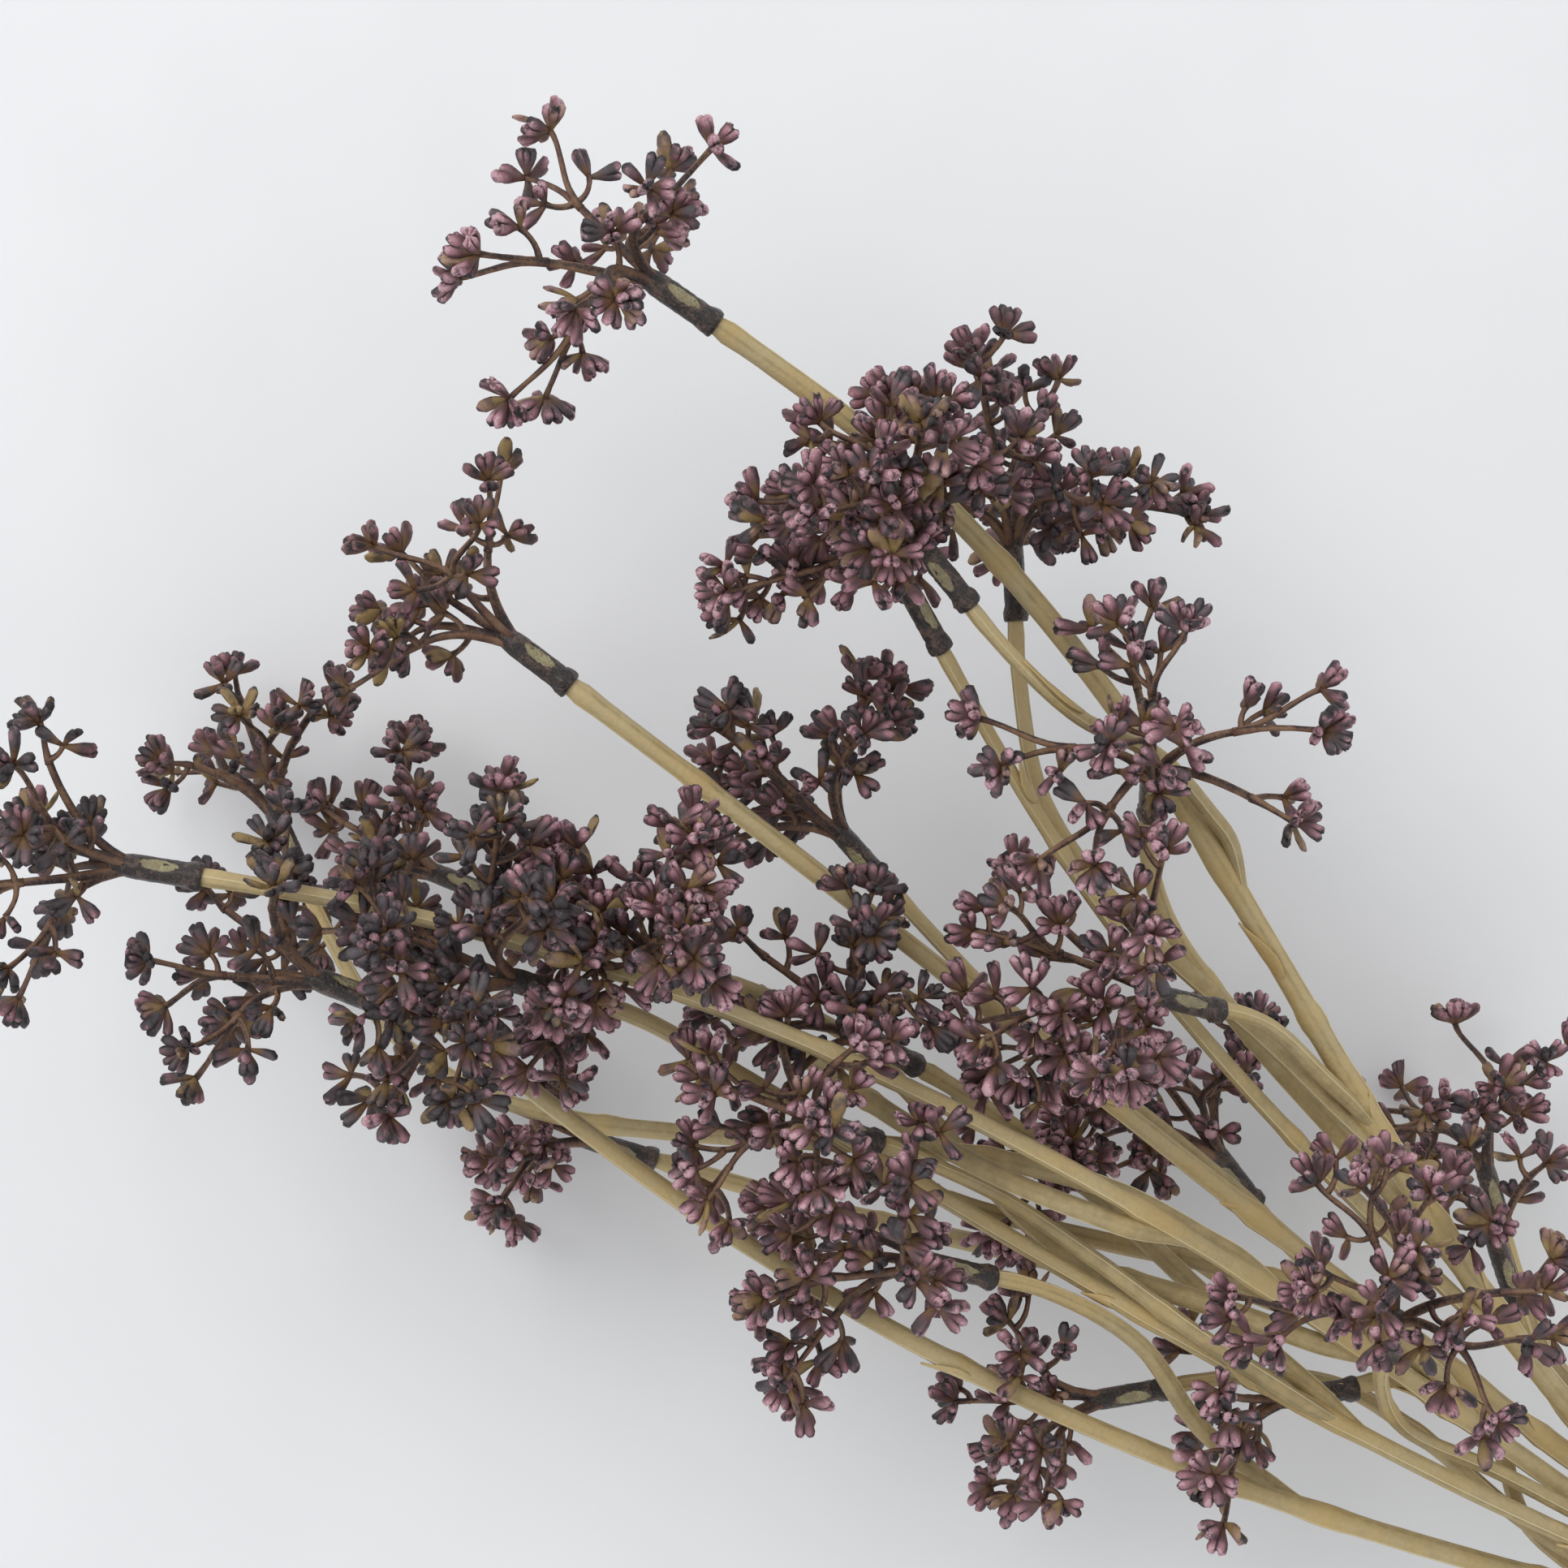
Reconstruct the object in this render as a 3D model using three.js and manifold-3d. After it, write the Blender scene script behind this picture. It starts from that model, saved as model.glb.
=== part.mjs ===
// A tied bunch of artificial dried umbel flowers, lying on a table.
// Millimetres, +Z up. The stems run along X with their cut ends towards +X and the flowers towards -X.
// Five moulded sprays pass through one band. Each spray is a main stem with side branches, and every
// stem and branch carries one umbel: a sleeve pushed over its tip, with rays that end in flower clusters.

import * as THREE from "three";
import { mergeVertices } from "three/addons/utils/BufferGeometryUtils.js";
import Module from "manifold-3d";

const wasm = await Module();
wasm.setup();

// Overall sizes
const FIELD_LENGTH = 300; // from where the stems fan out to the farthest sleeve top
const FIELD_WIDTH = 130; // the sleeve tops spread this far across
const FIELD_HEIGHT = 104; // the highest sleeve top, above the table
const CUT_END_LENGTH = 205; // from where the stems fan out to the longest cut end
const CUT_END_STAGGER = 7; // each next stem is cut this much shorter
const BUNDLE_SLOPE = 12; // degrees: the cut ends rest on the table and the flowers hold the stems up

// Stems and branches
const STEM_RADIUS = 1.8;
const BRANCH_RADIUS = 1.5;
const ROD_SIDES = 6;
const ROD_STEP = 20; // length of one straight facet along a rod
const STRAIGHT_TIP = 22; // the last stretch of a rod, in line with its sleeve
const BEND_SHARE = 0.36; // how far a rod's end directions reach along its bend
const BOW_STEP = 3.5; // a rod with no room tries bows that are this much wider each time
const BOW_RINGS = 8;
const BOWS_A_RING = 8;
const BOW_EARLY = [0.5, 1.2, 0, -0.7]; // how much of the bow shows in a rod's first bend
const FORK_LEAN = 0.2; // how much a branch leans away from its stem where it leaves
const FORK_GAP = 0.5; // between a branch and the stem that it leaves
const FORK_MOVES = [0, 7, -7, 14, -14]; // places along the stem that a branch tries
const FORK_SWINGS = [0, 45, -45, 90, -90]; // and turns round it, in degrees

// Band
const BAND_WIDTH = 12;
const BAND_WALL = 1.2;
const BAND_SIDES = 20;
const BAND_SETBACK = ROD_STEP + BAND_WIDTH / 2; // the stems are straight inside the band

// Sleeves
const SLEEVE_LENGTH = 14;
const SLEEVE_GRIP = 9; // depth of the blind bore over the stem's tip
const SLEEVE_WALL = 0.5;
const SLEEVE_RIM_LENGTH = 3;
const SLEEVE_RIM_BEVEL = 0.9;
const SLEEVE_RIM_PROUD = 0.4;
const SLEEVE_SIDES = 6;
const SLEEVE_TOP_RADIUS = 2.2;

// Rays and flower clusters
const RAY_RADIUS = 1.0;
const RAYLET_RADIUS = 0.8;
const RAY_SIDES = 3;
const RAY_STEPS = 2;
const RAY_ROOT_DEPTH = 1.2; // how deep a ray starts inside the sleeve's top
const RAY_ROOT_RING = 1.2; // how far from the sleeve's middle a ray starts
const RAY_RISE = 0.24; // the knee of a ray is this share of its reach along the sleeve
const RAY_SPREAD = 0.16; // and this share out from it
const RAYLET_LIFT = 0.35; // how much a raylet turns towards the sleeve's direction
const CLUSTER_RADIUS = 5;
const CLUSTER_ROOM = 5.6; // half the least distance between two clusters

// How the rays vary
const INNER_EVERY = 3; // one ray in this many stands near the middle of its umbel
const INNER_LEAN = 0.3; // shares of the flare
const OUTER_LEAN = 0.88;
const LEAN_WANDER = 0.4;
const TURN_WANDER = 0.35; // radians
const WANDER_GAIN = 2.2; // how much more a ray wanders as its tries run out
const REACH_LEAST = 0.92; // shares of the umbel's reach
const REACH_RANGE = 0.16;
const REACH_LOSS = 0.45;
const RAYLET_TURN = 0.9; // radians
const RAYLET_TURN_RANGE = 0.8;
const RAYLET_LEAST = 0.5;
const RAYLET_RANGE = 0.12;
const RAYLET_LOSS = 0.35;
const GROW_TRIES = 60;
const FIRST_SEED = 101;
const SEED_STEP = 37;

// Clearances
const PART_GAP = 0.3; // between pieces that touch
const ROUTE_GAP = 0.4; // kept free round every rod, sleeve, ray and cluster
const CHECK_POINTS = 10; // a ray's room is tested at this many steps along it
const CHECK_FROM = 2; // but not at its first ones, which lie in its sleeve or ray
const MERGE_WITHIN = 1e-4; // vertices closer than this are one

const TAU = 2 * Math.PI;
const UP = new THREE.Vector3(0, 0, 1);

// The sprays. Each main stem has a slot round the band's middle, given as an angle from +Y towards +Z.
// An umbel's place is a percentage of the field: along from where the stems fan out, across from the
// middle, and up.
// It faces an azimuth from +X towards +Y and tilts up, in degrees. Its reach is in millimetres,
// its flare is how far the outermost rays lean from the sleeve, in degrees.
// A branch leaves its stem at fork, in millimetres from where the stems fan out.
const umbel = (name, place, facing, reach, flare, rays, fork = 0) => ({
  name, place, facing, reach, flare, rays, fork,
});

const SPRAYS = [
  {
    name: "a",
    slot: 18,
    umbels: [
      umbel("a", [92.5, 52, 88], [-178, 8], 31, 98, 6),
      umbel("a1", [72.5, 41, 87], [156, 15], 30, 84, 6, 75),
      umbel("a2", [73, 45, 100], [166, 15], 24, 55, 5, 150),
      umbel("a3", [69, 54, 71], [129, 0], 32, 100, 7, 112),
      umbel("a4", [56, 40, 87], [132, 58], 29, 86, 7, 92),
      umbel("a5", [25.5, 27, 22], [143, 0], 25, 65, 5, 30),
      umbel("a6", [24.5, 19, 52], [147, 20], 18, 55, 4, 22),
      umbel("a7", [49, 18, 81], [-159, 25], 32, 75, 6, 105),
    ],
  },
  {
    name: "b",
    slot: 306,
    umbels: [
      umbel("b", [88, 7, 69], [179, 0], 27, 62, 6),
      umbel("b1", [67.5, 12, 63], [168, 5], 27, 70, 6, 115),
      umbel("b2", [38.5, 7, 21], [164, 15], 26, 65, 6, 50),
      umbel("b3", [45, -5, 44], [175, 20], 22, 70, 5, 70),
    ],
  },
  {
    name: "c",
    slot: 234,
    umbels: [
      umbel("c", [97, -43, 81], [-153, 0], 28, 70, 6),
      umbel("c1", [94.5, -30, 22], [150, 0], 25, 60, 5, 115),
      umbel("c2", [85, -25, 22], [-166, 10], 24, 70, 5, 135),
      umbel("c3", [68.5, -42, 20], [-161, 5], 24, 65, 5, 95),
      umbel("c4", [55, -22, 50], [-162, 10], 18, 60, 4, 75),
    ],
  },
  {
    name: "d",
    slot: 90,
    umbels: [
      umbel("d", [77, -26, 88], [-163, 30], 30, 80, 7),
      umbel("d1", [60, -7, 67], [-176, 30], 27, 75, 6, 90),
      umbel("d2", [29, 4, 88], [128, 55], 27, 80, 6, 30),
      umbel("d3", [71, -14, 81], [-164, 35], 30, 80, 6, 112),
      umbel("d4", [59.5, -18, 85], [-168, 35], 22, 75, 5, 95),
    ],
  },
  {
    name: "e",
    slot: 162,
    umbels: [
      umbel("e", [85.5, -41, 73], [-165, 0], 27, 75, 6),
      umbel("e1", [50.5, -25, 77], [-160, 20], 30, 75, 6, 75),
      umbel("e2", [29.5, -14, 58], [-136, 0], 24, 70, 5, 10),
      umbel("e3", [37.5, -28, 56], [-136, 10], 24, 60, 5, 28),
    ],
  },
];

// Finishes
const STEM_FINISH = { color: 0xaf9f6c, roughness: 0.62, metalness: 0 };
const UMBEL_FINISH = { color: 0x6b4453, roughness: 0.58, metalness: 0 };
const BAND_FINISH = { color: 0xb59c72, roughness: 0.85, metalness: 0 };

// Values that follow from the sizes
const slotRadius = (STEM_RADIUS + PART_GAP) / Math.sin(Math.PI / SPRAYS.length);
const bandInner = (slotRadius + STEM_RADIUS + PART_GAP) / Math.cos(Math.PI / BAND_SIDES);
const bandOuter = bandInner + BAND_WALL;
const boreRadius = (radius) => (radius + PART_GAP) / Math.cos(Math.PI / SLEEVE_SIDES);
const sleeveRadius = (radius) => boreRadius(radius) + SLEEVE_WALL;
const rimRadius = (radius) => sleeveRadius(radius) + SLEEVE_RIM_PROUD;

const radians = THREE.MathUtils.degToRad;
const along = (from, direction, distance) => from.clone().addScaledVector(direction, distance);

function facingDirection([azimuth, tilt]) {
  const a = radians(azimuth);
  const t = radians(tilt);
  return new THREE.Vector3(Math.cos(t) * Math.cos(a), Math.cos(t) * Math.sin(a), Math.sin(t));
}

function placeInField([length, width, height]) {
  const place = new THREE.Vector3(-length * FIELD_LENGTH, width * FIELD_WIDTH, height * FIELD_HEIGHT);
  return place.divideScalar(100);
}

// The bundle is straight from the cut ends to where the stems fan out, and its cut ends touch the table.
const bundleDirection = facingDirection([180, BUNDLE_SLOPE]);
const cutBack = (order) => order * CUT_END_STAGGER;
const stemRests = SPRAYS.map(
  ({ slot }, i) =>
    (CUT_END_LENGTH - cutBack(i)) * bundleDirection.z - slotRadius * Math.sin(radians(slot)),
);
const bundleStart = UP.clone().multiplyScalar(Math.max(...stemRests) + STEM_RADIUS);

// A repeatable stream of numbers from 0 to 1, from a 32-bit linear congruential generator.
function makeRandom(seed) {
  let state = seed >>> 0;
  return () => {
    state = (Math.imul(state, 1664525) + 1013904223) >>> 0;
    return state / 2 ** 32;
  };
}

// Keeping pieces apart: everything that takes room is a list of capsules {from, to, radius, owner}.
function capsules(points, radius, owner) {
  return points.slice(1).map((to, i) => ({ from: points[i], to, radius, owner }));
}

const span = new THREE.Vector3();
const reachOut = new THREE.Vector3();
function distanceTo({ from, to }, point) {
  span.subVectors(to, from);
  reachOut.subVectors(point, from);
  const length2 = span.lengthSq();
  const share = length2 > 0 ? THREE.MathUtils.clamp(reachOut.dot(span) / length2, 0, 1) : 0;
  return reachOut.addScaledVector(span, -share).length();
}

// How far a row of points with a radius stays clear of the capsules; below 0 it is too close.
function clearance(points, radius, taken) {
  let least = Infinity;
  for (const item of taken) {
    for (const point of points) {
      least = Math.min(least, distanceTo(item, point) - item.radius - radius - ROUTE_GAP);
    }
  }
  return least;
}

function fillIn(points, step) {
  const filled = [points[0]];
  for (const [i, to] of points.slice(1).entries()) {
    const pieces = Math.max(1, Math.ceil(points[i].distanceTo(to) / step));
    for (let k = 1; k <= pieces; k += 1) filled.push(points[i].clone().lerp(to, k / pieces));
  }
  return filled;
}

// A rod runs from its start, bends once, and ends in a straight tip inside its sleeve.
function rodPath({ start, heading, lead, tip, cutEnd }, bow, early) {
  const bend = lead.distanceTo(start) * BEND_SHARE;
  const facing = tip.clone().sub(lead).normalize();
  const path = new THREE.CurvePath();
  if (cutEnd) path.add(new THREE.LineCurve3(cutEnd, start));
  path.add(
    new THREE.CubicBezierCurve3(
      start,
      along(start, heading, bend).addScaledVector(bow, early),
      along(lead, facing, -bend).add(bow),
      lead,
    ),
  );
  path.add(new THREE.LineCurve3(lead, tip));
  const steps = Math.ceil(path.getLength() / ROD_STEP);
  return { path, steps, points: path.getSpacedPoints(steps) };
}

// The bows to try, from none to the widest: how far the bend is pushed aside, and how early.
function* bowsToTry() {
  for (const early of BOW_EARLY) {
    for (let ring = 0; ring <= BOW_RINGS; ring += 1) {
      const bows = Array.from({ length: ring ? BOWS_A_RING : 1 }, (_, k) => {
        const turn = (TAU * k) / BOWS_A_RING;
        const size = ring * BOW_STEP;
        return new THREE.Vector3(0, size * Math.cos(turn), size * Math.sin(turn));
      });
      yield { bows, early };
    }
  }
}

// Tries each way of starting the rod with wider and wider bows, until it stays clear of what is there.
function routeRod(starts, radius, taken) {
  let best = null;
  for (const { bows, early } of bowsToTry()) {
    for (const ends of starts) {
      for (const bow of bows) {
        const rod = rodPath(ends, bow, early);
        rod.room = clearance(fillIn(rod.points, BRANCH_RADIUS), radius, taken);
        if (!best || rod.room > best.room) best = rod;
        if (rod.room >= 0) return rod;
      }
    }
  }
  return best;
}

// The ways a branch can leave its stem: on the side that faces its umbel first, then swung round
// the stem and moved along it.
function forksFrom(stem, distance, target) {
  const total = stem.path.getLength();
  return FORK_MOVES.flatMap((move) => {
    const share = (distance + move) / total;
    const at = stem.path.getPointAt(share);
    const heading = stem.path.getTangentAt(share);
    const side = target.clone().sub(at);
    side.addScaledVector(heading, -side.dot(heading)).normalize();
    return FORK_SWINGS.map((swing) => {
      const way = side.clone().applyAxisAngle(heading, radians(swing));
      const start = along(at, way, STEM_RADIUS + BRANCH_RADIUS + FORK_GAP);
      return { start, heading: along(heading, way, FORK_LEAN).normalize() };
    });
  });
}

// Plans one spray's umbels: the hub is the sleeve's top and the facing is the sleeve's direction.
function planUmbel(spec, radius) {
  const hub = placeInField(spec.place);
  const facing = facingDirection(spec.facing);
  return {
    ...spec,
    radius,
    hub,
    facing,
    rim: along(hub, facing, -SLEEVE_LENGTH),
    tip: along(hub, facing, SLEEVE_GRIP - SLEEVE_LENGTH - PART_GAP),
    lead: along(hub, facing, SLEEVE_GRIP - SLEEVE_LENGTH - STRAIGHT_TIP),
  };
}

const plans = SPRAYS.flatMap((spray, i) =>
  spray.umbels.map((spec, k) => ({
    ...planUmbel(spec, k ? BRANCH_RADIUS : STEM_RADIUS),
    spray,
    order: i,
    isMain: k === 0,
  })),
);

const sleeveRoom = plans.flatMap((p) => capsules([p.rim, p.hub], rimRadius(p.radius), p.name));
const rodRoom = [];

function addRod(plan, starts) {
  const others = sleeveRoom.filter((item) => item.owner !== plan.name);
  const ends = starts.map((start) => ({ ...start, lead: plan.lead, tip: plan.tip }));
  plan.rod = routeRod(ends, plan.radius, [...others, ...rodRoom]);
  rodRoom.push(...capsules(plan.rod.points, plan.radius, plan.name));
}

const mains = plans.filter((p) => p.isMain);
for (const plan of mains) {
  const turn = radians(plan.spray.slot);
  const slot = new THREE.Vector3(0, Math.cos(turn), Math.sin(turn)).multiplyScalar(slotRadius);
  const start = slot.add(bundleStart);
  const cutEnd = along(start, bundleDirection, cutBack(plan.order) - CUT_END_LENGTH);
  addRod(plan, [{ start, heading: bundleDirection, cutEnd }]);
}
// The branches nearest the tie have the least freedom, so they are laid first.
for (const plan of plans.filter((p) => !p.isMain).sort((p, q) => p.fork - q.fork)) {
  const stem = mains[plan.order].rod;
  const forkLength = CUT_END_LENGTH - cutBack(plan.order) + plan.fork;
  addRod(plan, forksFrom(stem, forkLength, plan.lead));
}

// One ray: it leaves the hub along the sleeve, arches over and ends in a cluster.
// A raylet leaves it half way and ends in another cluster.
function rayCurve(plan, frame, turn, lean, reach) {
  const out = frame.side.clone().multiplyScalar(Math.cos(turn));
  out.addScaledVector(frame.across, Math.sin(turn));
  const aim = plan.facing.clone().multiplyScalar(Math.cos(lean)).addScaledVector(out, Math.sin(lean));
  const root = along(plan.hub, plan.facing, -RAY_ROOT_DEPTH).addScaledVector(out, RAY_ROOT_RING);
  const knee = along(plan.hub, plan.facing, RAY_RISE * reach).addScaledVector(out, RAY_SPREAD * reach);
  const end = along(plan.hub, aim, reach);
  end.z = Math.max(end.z, CLUSTER_RADIUS);
  return new THREE.QuadraticBezierCurve3(root, knee, end);
}

function rayletCurve(ray, frame, bend, reach) {
  const start = ray.getPointAt(1 / RAY_STEPS);
  const heading = ray.getTangentAt(1 / RAY_STEPS);
  const sideways = heading.clone().cross(frame.axis).normalize();
  const aim = along(heading, sideways, bend).addScaledVector(frame.axis, RAYLET_LIFT).normalize();
  const end = along(start, aim, reach);
  end.z = Math.max(end.z, CLUSTER_RADIUS);
  return new THREE.LineCurve3(start, end);
}

// A curve and its cluster are free when the cluster and the outer part of the curve have room.
function isFree(curve, radius, taken, clusters) {
  const end = curve.getPoint(1);
  if (clusters.some((c) => c.distanceTo(end) < 2 * CLUSTER_ROOM)) return false;
  if (clearance([end], CLUSTER_RADIUS, taken) < 0) return false;
  const points = curve.getSpacedPoints(CHECK_POINTS).slice(CHECK_FROM);
  return clearance(points, radius, taken) >= 0;
}

// Grows an umbel's rays one by one. Each tries its own place first, then places near it and shorter.
function growUmbel(plan, seed, taken) {
  const random = makeRandom(seed);
  const side = new THREE.Vector3().crossVectors(plan.facing, UP).normalize();
  const across = new THREE.Vector3().crossVectors(side, plan.facing).normalize();
  const frame = { axis: plan.facing, side, across };
  const flare = radians(plan.flare);
  const arms = [];
  const clusters = [];
  const grow = (make, radius, steps) => {
    for (let k = 0; k < GROW_TRIES; k += 1) {
      const curve = make(k / GROW_TRIES);
      if (!isFree(curve, radius, taken, clusters)) continue;
      arms.push({ curve, radius, steps });
      clusters.push(curve.getPoint(1));
      return curve;
    }
    return null;
  };
  const offset = TAU * random();
  for (let i = 0; i < plan.rays; i += 1) {
    const usualLean = (i + 1) % INNER_EVERY ? OUTER_LEAN : INNER_LEAN;
    const ray = grow((strain) => {
      const wander = TURN_WANDER + WANDER_GAIN * strain;
      const turn = offset + (TAU * i) / plan.rays + wander * (random() - 1 / 2);
      const lean = flare * (usualLean + LEAN_WANDER * wander * (random() - 1 / 2));
      const reach = plan.reach * (REACH_LEAST + REACH_RANGE * random()) * (1 - REACH_LOSS * strain);
      return rayCurve(plan, frame, turn, lean, reach);
    }, RAY_RADIUS, RAY_STEPS);
    if (!ray) continue;
    const turnTo = i % 2 ? 1 : -1;
    grow((strain) => {
      const bend = turnTo * (RAYLET_TURN + RAYLET_TURN_RANGE * random()) * (1 - 2 * strain * random());
      const reach = plan.reach * (RAYLET_LEAST + RAYLET_RANGE * random()) * (1 - RAYLET_LOSS * strain);
      return rayletCurve(ray, frame, bend, reach);
    }, RAYLET_RADIUS, 1);
  }
  plan.arms = arms;
  plan.clusters = clusters;
  const room = arms.flatMap(({ curve, radius, steps }) =>
    capsules(curve.getSpacedPoints(steps), radius, plan.name),
  );
  const ends = clusters.map((c) => ({ from: c, to: c, radius: CLUSTER_RADIUS, owner: plan.name }));
  return [...room, ...ends];
}

// The smallest umbels grow first, because they have the least freedom.
const grown = [];
for (const [i, plan] of [...plans].sort((p, q) => p.reach - q.reach).entries()) {
  const sleeves = sleeveRoom.filter((item) => item.owner !== plan.name);
  grown.push(...growUmbel(plan, FIRST_SEED + SEED_STEP * i, [...rodRoom, ...sleeves, ...grown]));
}

// Solids
function roundSection(radius, sides) {
  const corners = Array.from({ length: sides }, (_, i) => {
    const turn = (TAU * i) / sides;
    return new THREE.Vector2(radius * Math.cos(turn), radius * Math.sin(turn));
  });
  return new THREE.Shape(corners);
}

function rodGeometry(path, radius, sides, steps) {
  return new THREE.ExtrudeGeometry(roundSection(radius, sides), { extrudePath: path, steps });
}

function solidOf(geometry) {
  const bare = geometry.clone();
  bare.deleteAttribute("normal");
  bare.deleteAttribute("uv");
  const merged = mergeVertices(bare, MERGE_WITHIN);
  return new wasm.Manifold(
    new wasm.Mesh({
      numProp: 3,
      vertProperties: merged.attributes.position.array,
      triVerts: new Uint32Array(merged.index.array),
    }),
  );
}

function geometryOf(solid) {
  const made = solid.getMesh();
  const geometry = new THREE.BufferGeometry();
  const positions = new Float32Array(made.vertProperties);
  geometry.setAttribute("position", new THREE.BufferAttribute(positions, 3));
  geometry.setIndex(new THREE.BufferAttribute(new Uint32Array(made.triVerts), 1));
  geometry.computeVertexNormals();
  return geometry;
}

// The sleeve: a thick rim at the mouth, a body that narrows to the top, and a blind bore.
function sleeveGeometry(plan) {
  const bore = boreRadius(plan.radius);
  const profile = [
    [0, SLEEVE_GRIP],
    [bore, SLEEVE_GRIP],
    [bore, 0],
    [rimRadius(plan.radius), 0],
    [rimRadius(plan.radius), SLEEVE_RIM_LENGTH - SLEEVE_RIM_BEVEL],
    [sleeveRadius(plan.radius), SLEEVE_RIM_LENGTH],
    [sleeveRadius(plan.radius), SLEEVE_GRIP],
    [SLEEVE_TOP_RADIUS, SLEEVE_LENGTH],
    [0, SLEEVE_LENGTH],
  ].map(([x, y]) => new THREE.Vector2(x, y));
  const geometry = new THREE.LatheGeometry(profile, SLEEVE_SIDES);
  const turn = new THREE.Quaternion().setFromUnitVectors(new THREE.Vector3(0, 1, 0), plan.facing);
  return geometry.applyQuaternion(turn).translate(plan.rim.x, plan.rim.y, plan.rim.z);
}

// A cluster's solid is an octahedron that turns one face to the ray that it ends.
function clusterGeometry(curve, steps) {
  const end = curve.getPoint(1);
  const back = curve.getPointAt(1 - 1 / steps).sub(end).normalize();
  const face = new THREE.Vector3(1, 1, 1).normalize();
  const turn = new THREE.Quaternion().setFromUnitVectors(face, back);
  const geometry = new THREE.OctahedronGeometry(CLUSTER_RADIUS, 0);
  return geometry.applyQuaternion(turn).translate(end.x, end.y, end.z);
}

function umbelGeometry(plan) {
  const pieces = [sleeveGeometry(plan)];
  for (const { curve, radius, steps } of plan.arms) {
    pieces.push(rodGeometry(curve, radius, RAY_SIDES, steps), clusterGeometry(curve, steps));
  }
  return geometryOf(pieces.map(solidOf).reduce((whole, piece) => whole.add(piece)));
}

function bandGeometry() {
  const half = BAND_WIDTH / 2;
  const profile = [
    [bandInner, -half],
    [bandOuter, -half],
    [bandOuter, half],
    [bandInner, half],
    [bandInner, -half],
  ].map(([x, y]) => new THREE.Vector2(x, y));
  const geometry = new THREE.LatheGeometry(profile, BAND_SIDES);
  const turn = new THREE.Quaternion().setFromUnitVectors(new THREE.Vector3(0, 1, 0), bundleDirection);
  const middle = along(bundleStart, bundleDirection, -BAND_SETBACK);
  return geometry.applyQuaternion(turn).translate(middle.x, middle.y, middle.z);
}

function addMesh(group, name, geometry, finish) {
  const mesh = new THREE.Mesh(geometry, new THREE.MeshStandardMaterial(finish));
  mesh.name = name;
  group.add(mesh);
}

const bunch = new THREE.Group();
for (const spray of SPRAYS) {
  const group = new THREE.Group();
  for (const plan of plans.filter((p) => p.spray === spray)) {
    const rodName = (plan.isMain ? "stem_" : "branch_") + plan.name;
    const rod = rodGeometry(plan.rod.path, plan.radius, ROD_SIDES, plan.rod.steps);
    addMesh(group, rodName, rod, STEM_FINISH);
    addMesh(group, "umbel_" + plan.name, umbelGeometry(plan), UMBEL_FINISH);
  }
  bunch.add(group);
}
addMesh(bunch, "band", bandGeometry(), BAND_FINISH);

// The origin is the middle of the bunch's footprint, on the table.
const box = new THREE.Box3().setFromObject(bunch, true);
bunch.position.set(-(box.min.x + box.max.x) / 2, -(box.min.y + box.max.y) / 2, -box.min.z);

export default bunch;
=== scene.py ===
"""A tied bunch of artificial dried umbel flowers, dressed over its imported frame.

The frame's own meshes say where everything is: the rods' centre lines and radii and the middles of the
flower clusters are read out of them. Sizes here are millimetres, and meshes are written in metres.
"""

import logging
import math
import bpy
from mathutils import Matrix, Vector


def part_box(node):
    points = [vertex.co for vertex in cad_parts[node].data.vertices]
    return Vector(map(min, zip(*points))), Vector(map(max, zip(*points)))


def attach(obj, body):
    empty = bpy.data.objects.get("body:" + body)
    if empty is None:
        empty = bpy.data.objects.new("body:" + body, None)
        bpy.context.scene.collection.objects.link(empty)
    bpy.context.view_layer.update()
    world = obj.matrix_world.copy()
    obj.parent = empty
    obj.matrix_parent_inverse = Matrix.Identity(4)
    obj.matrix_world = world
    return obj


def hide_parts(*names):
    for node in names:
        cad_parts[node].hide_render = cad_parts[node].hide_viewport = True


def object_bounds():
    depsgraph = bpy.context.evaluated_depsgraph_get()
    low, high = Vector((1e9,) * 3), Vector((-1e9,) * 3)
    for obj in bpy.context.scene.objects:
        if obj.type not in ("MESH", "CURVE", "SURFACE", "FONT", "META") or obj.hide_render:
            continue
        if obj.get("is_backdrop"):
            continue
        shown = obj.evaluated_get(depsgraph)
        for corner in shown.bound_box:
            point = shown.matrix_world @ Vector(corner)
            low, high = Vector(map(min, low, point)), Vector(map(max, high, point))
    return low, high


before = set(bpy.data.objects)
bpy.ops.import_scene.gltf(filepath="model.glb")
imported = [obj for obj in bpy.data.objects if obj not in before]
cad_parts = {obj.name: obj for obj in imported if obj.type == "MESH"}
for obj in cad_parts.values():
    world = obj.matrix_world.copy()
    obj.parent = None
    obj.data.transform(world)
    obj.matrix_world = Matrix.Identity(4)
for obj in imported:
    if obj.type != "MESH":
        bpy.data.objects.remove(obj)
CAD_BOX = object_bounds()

import zlib
from dataclasses import dataclass, field
from enum import Enum
from typing import Callable, Iterable, Sequence

import bpy
import numpy as np

Array = np.ndarray
MM = 0.001
TAU = 2 * math.pi
UP = np.array([0.0, 0.0, 1.0])
BODY = "root"
LOWEST = 0.05  # every point of a piece stays at least this high over the table
TIP_TAPER = 0.86  # a rod's radius at its tip, as a share of its full radius
GRIP = 9.0  # how far a sleeve goes over its rod's tip

log = logging.getLogger("bunch")


# ---- geometry helpers


def unit(vectors: Array) -> Array:
    """The vectors at length 1."""
    return vectors / np.maximum(np.linalg.norm(vectors, axis=-1, keepdims=True), 1e-9)


def gaps(points: Array, place: Array) -> Array:
    """How far each point is from a place."""
    return np.linalg.norm(points - place, axis=-1)


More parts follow.
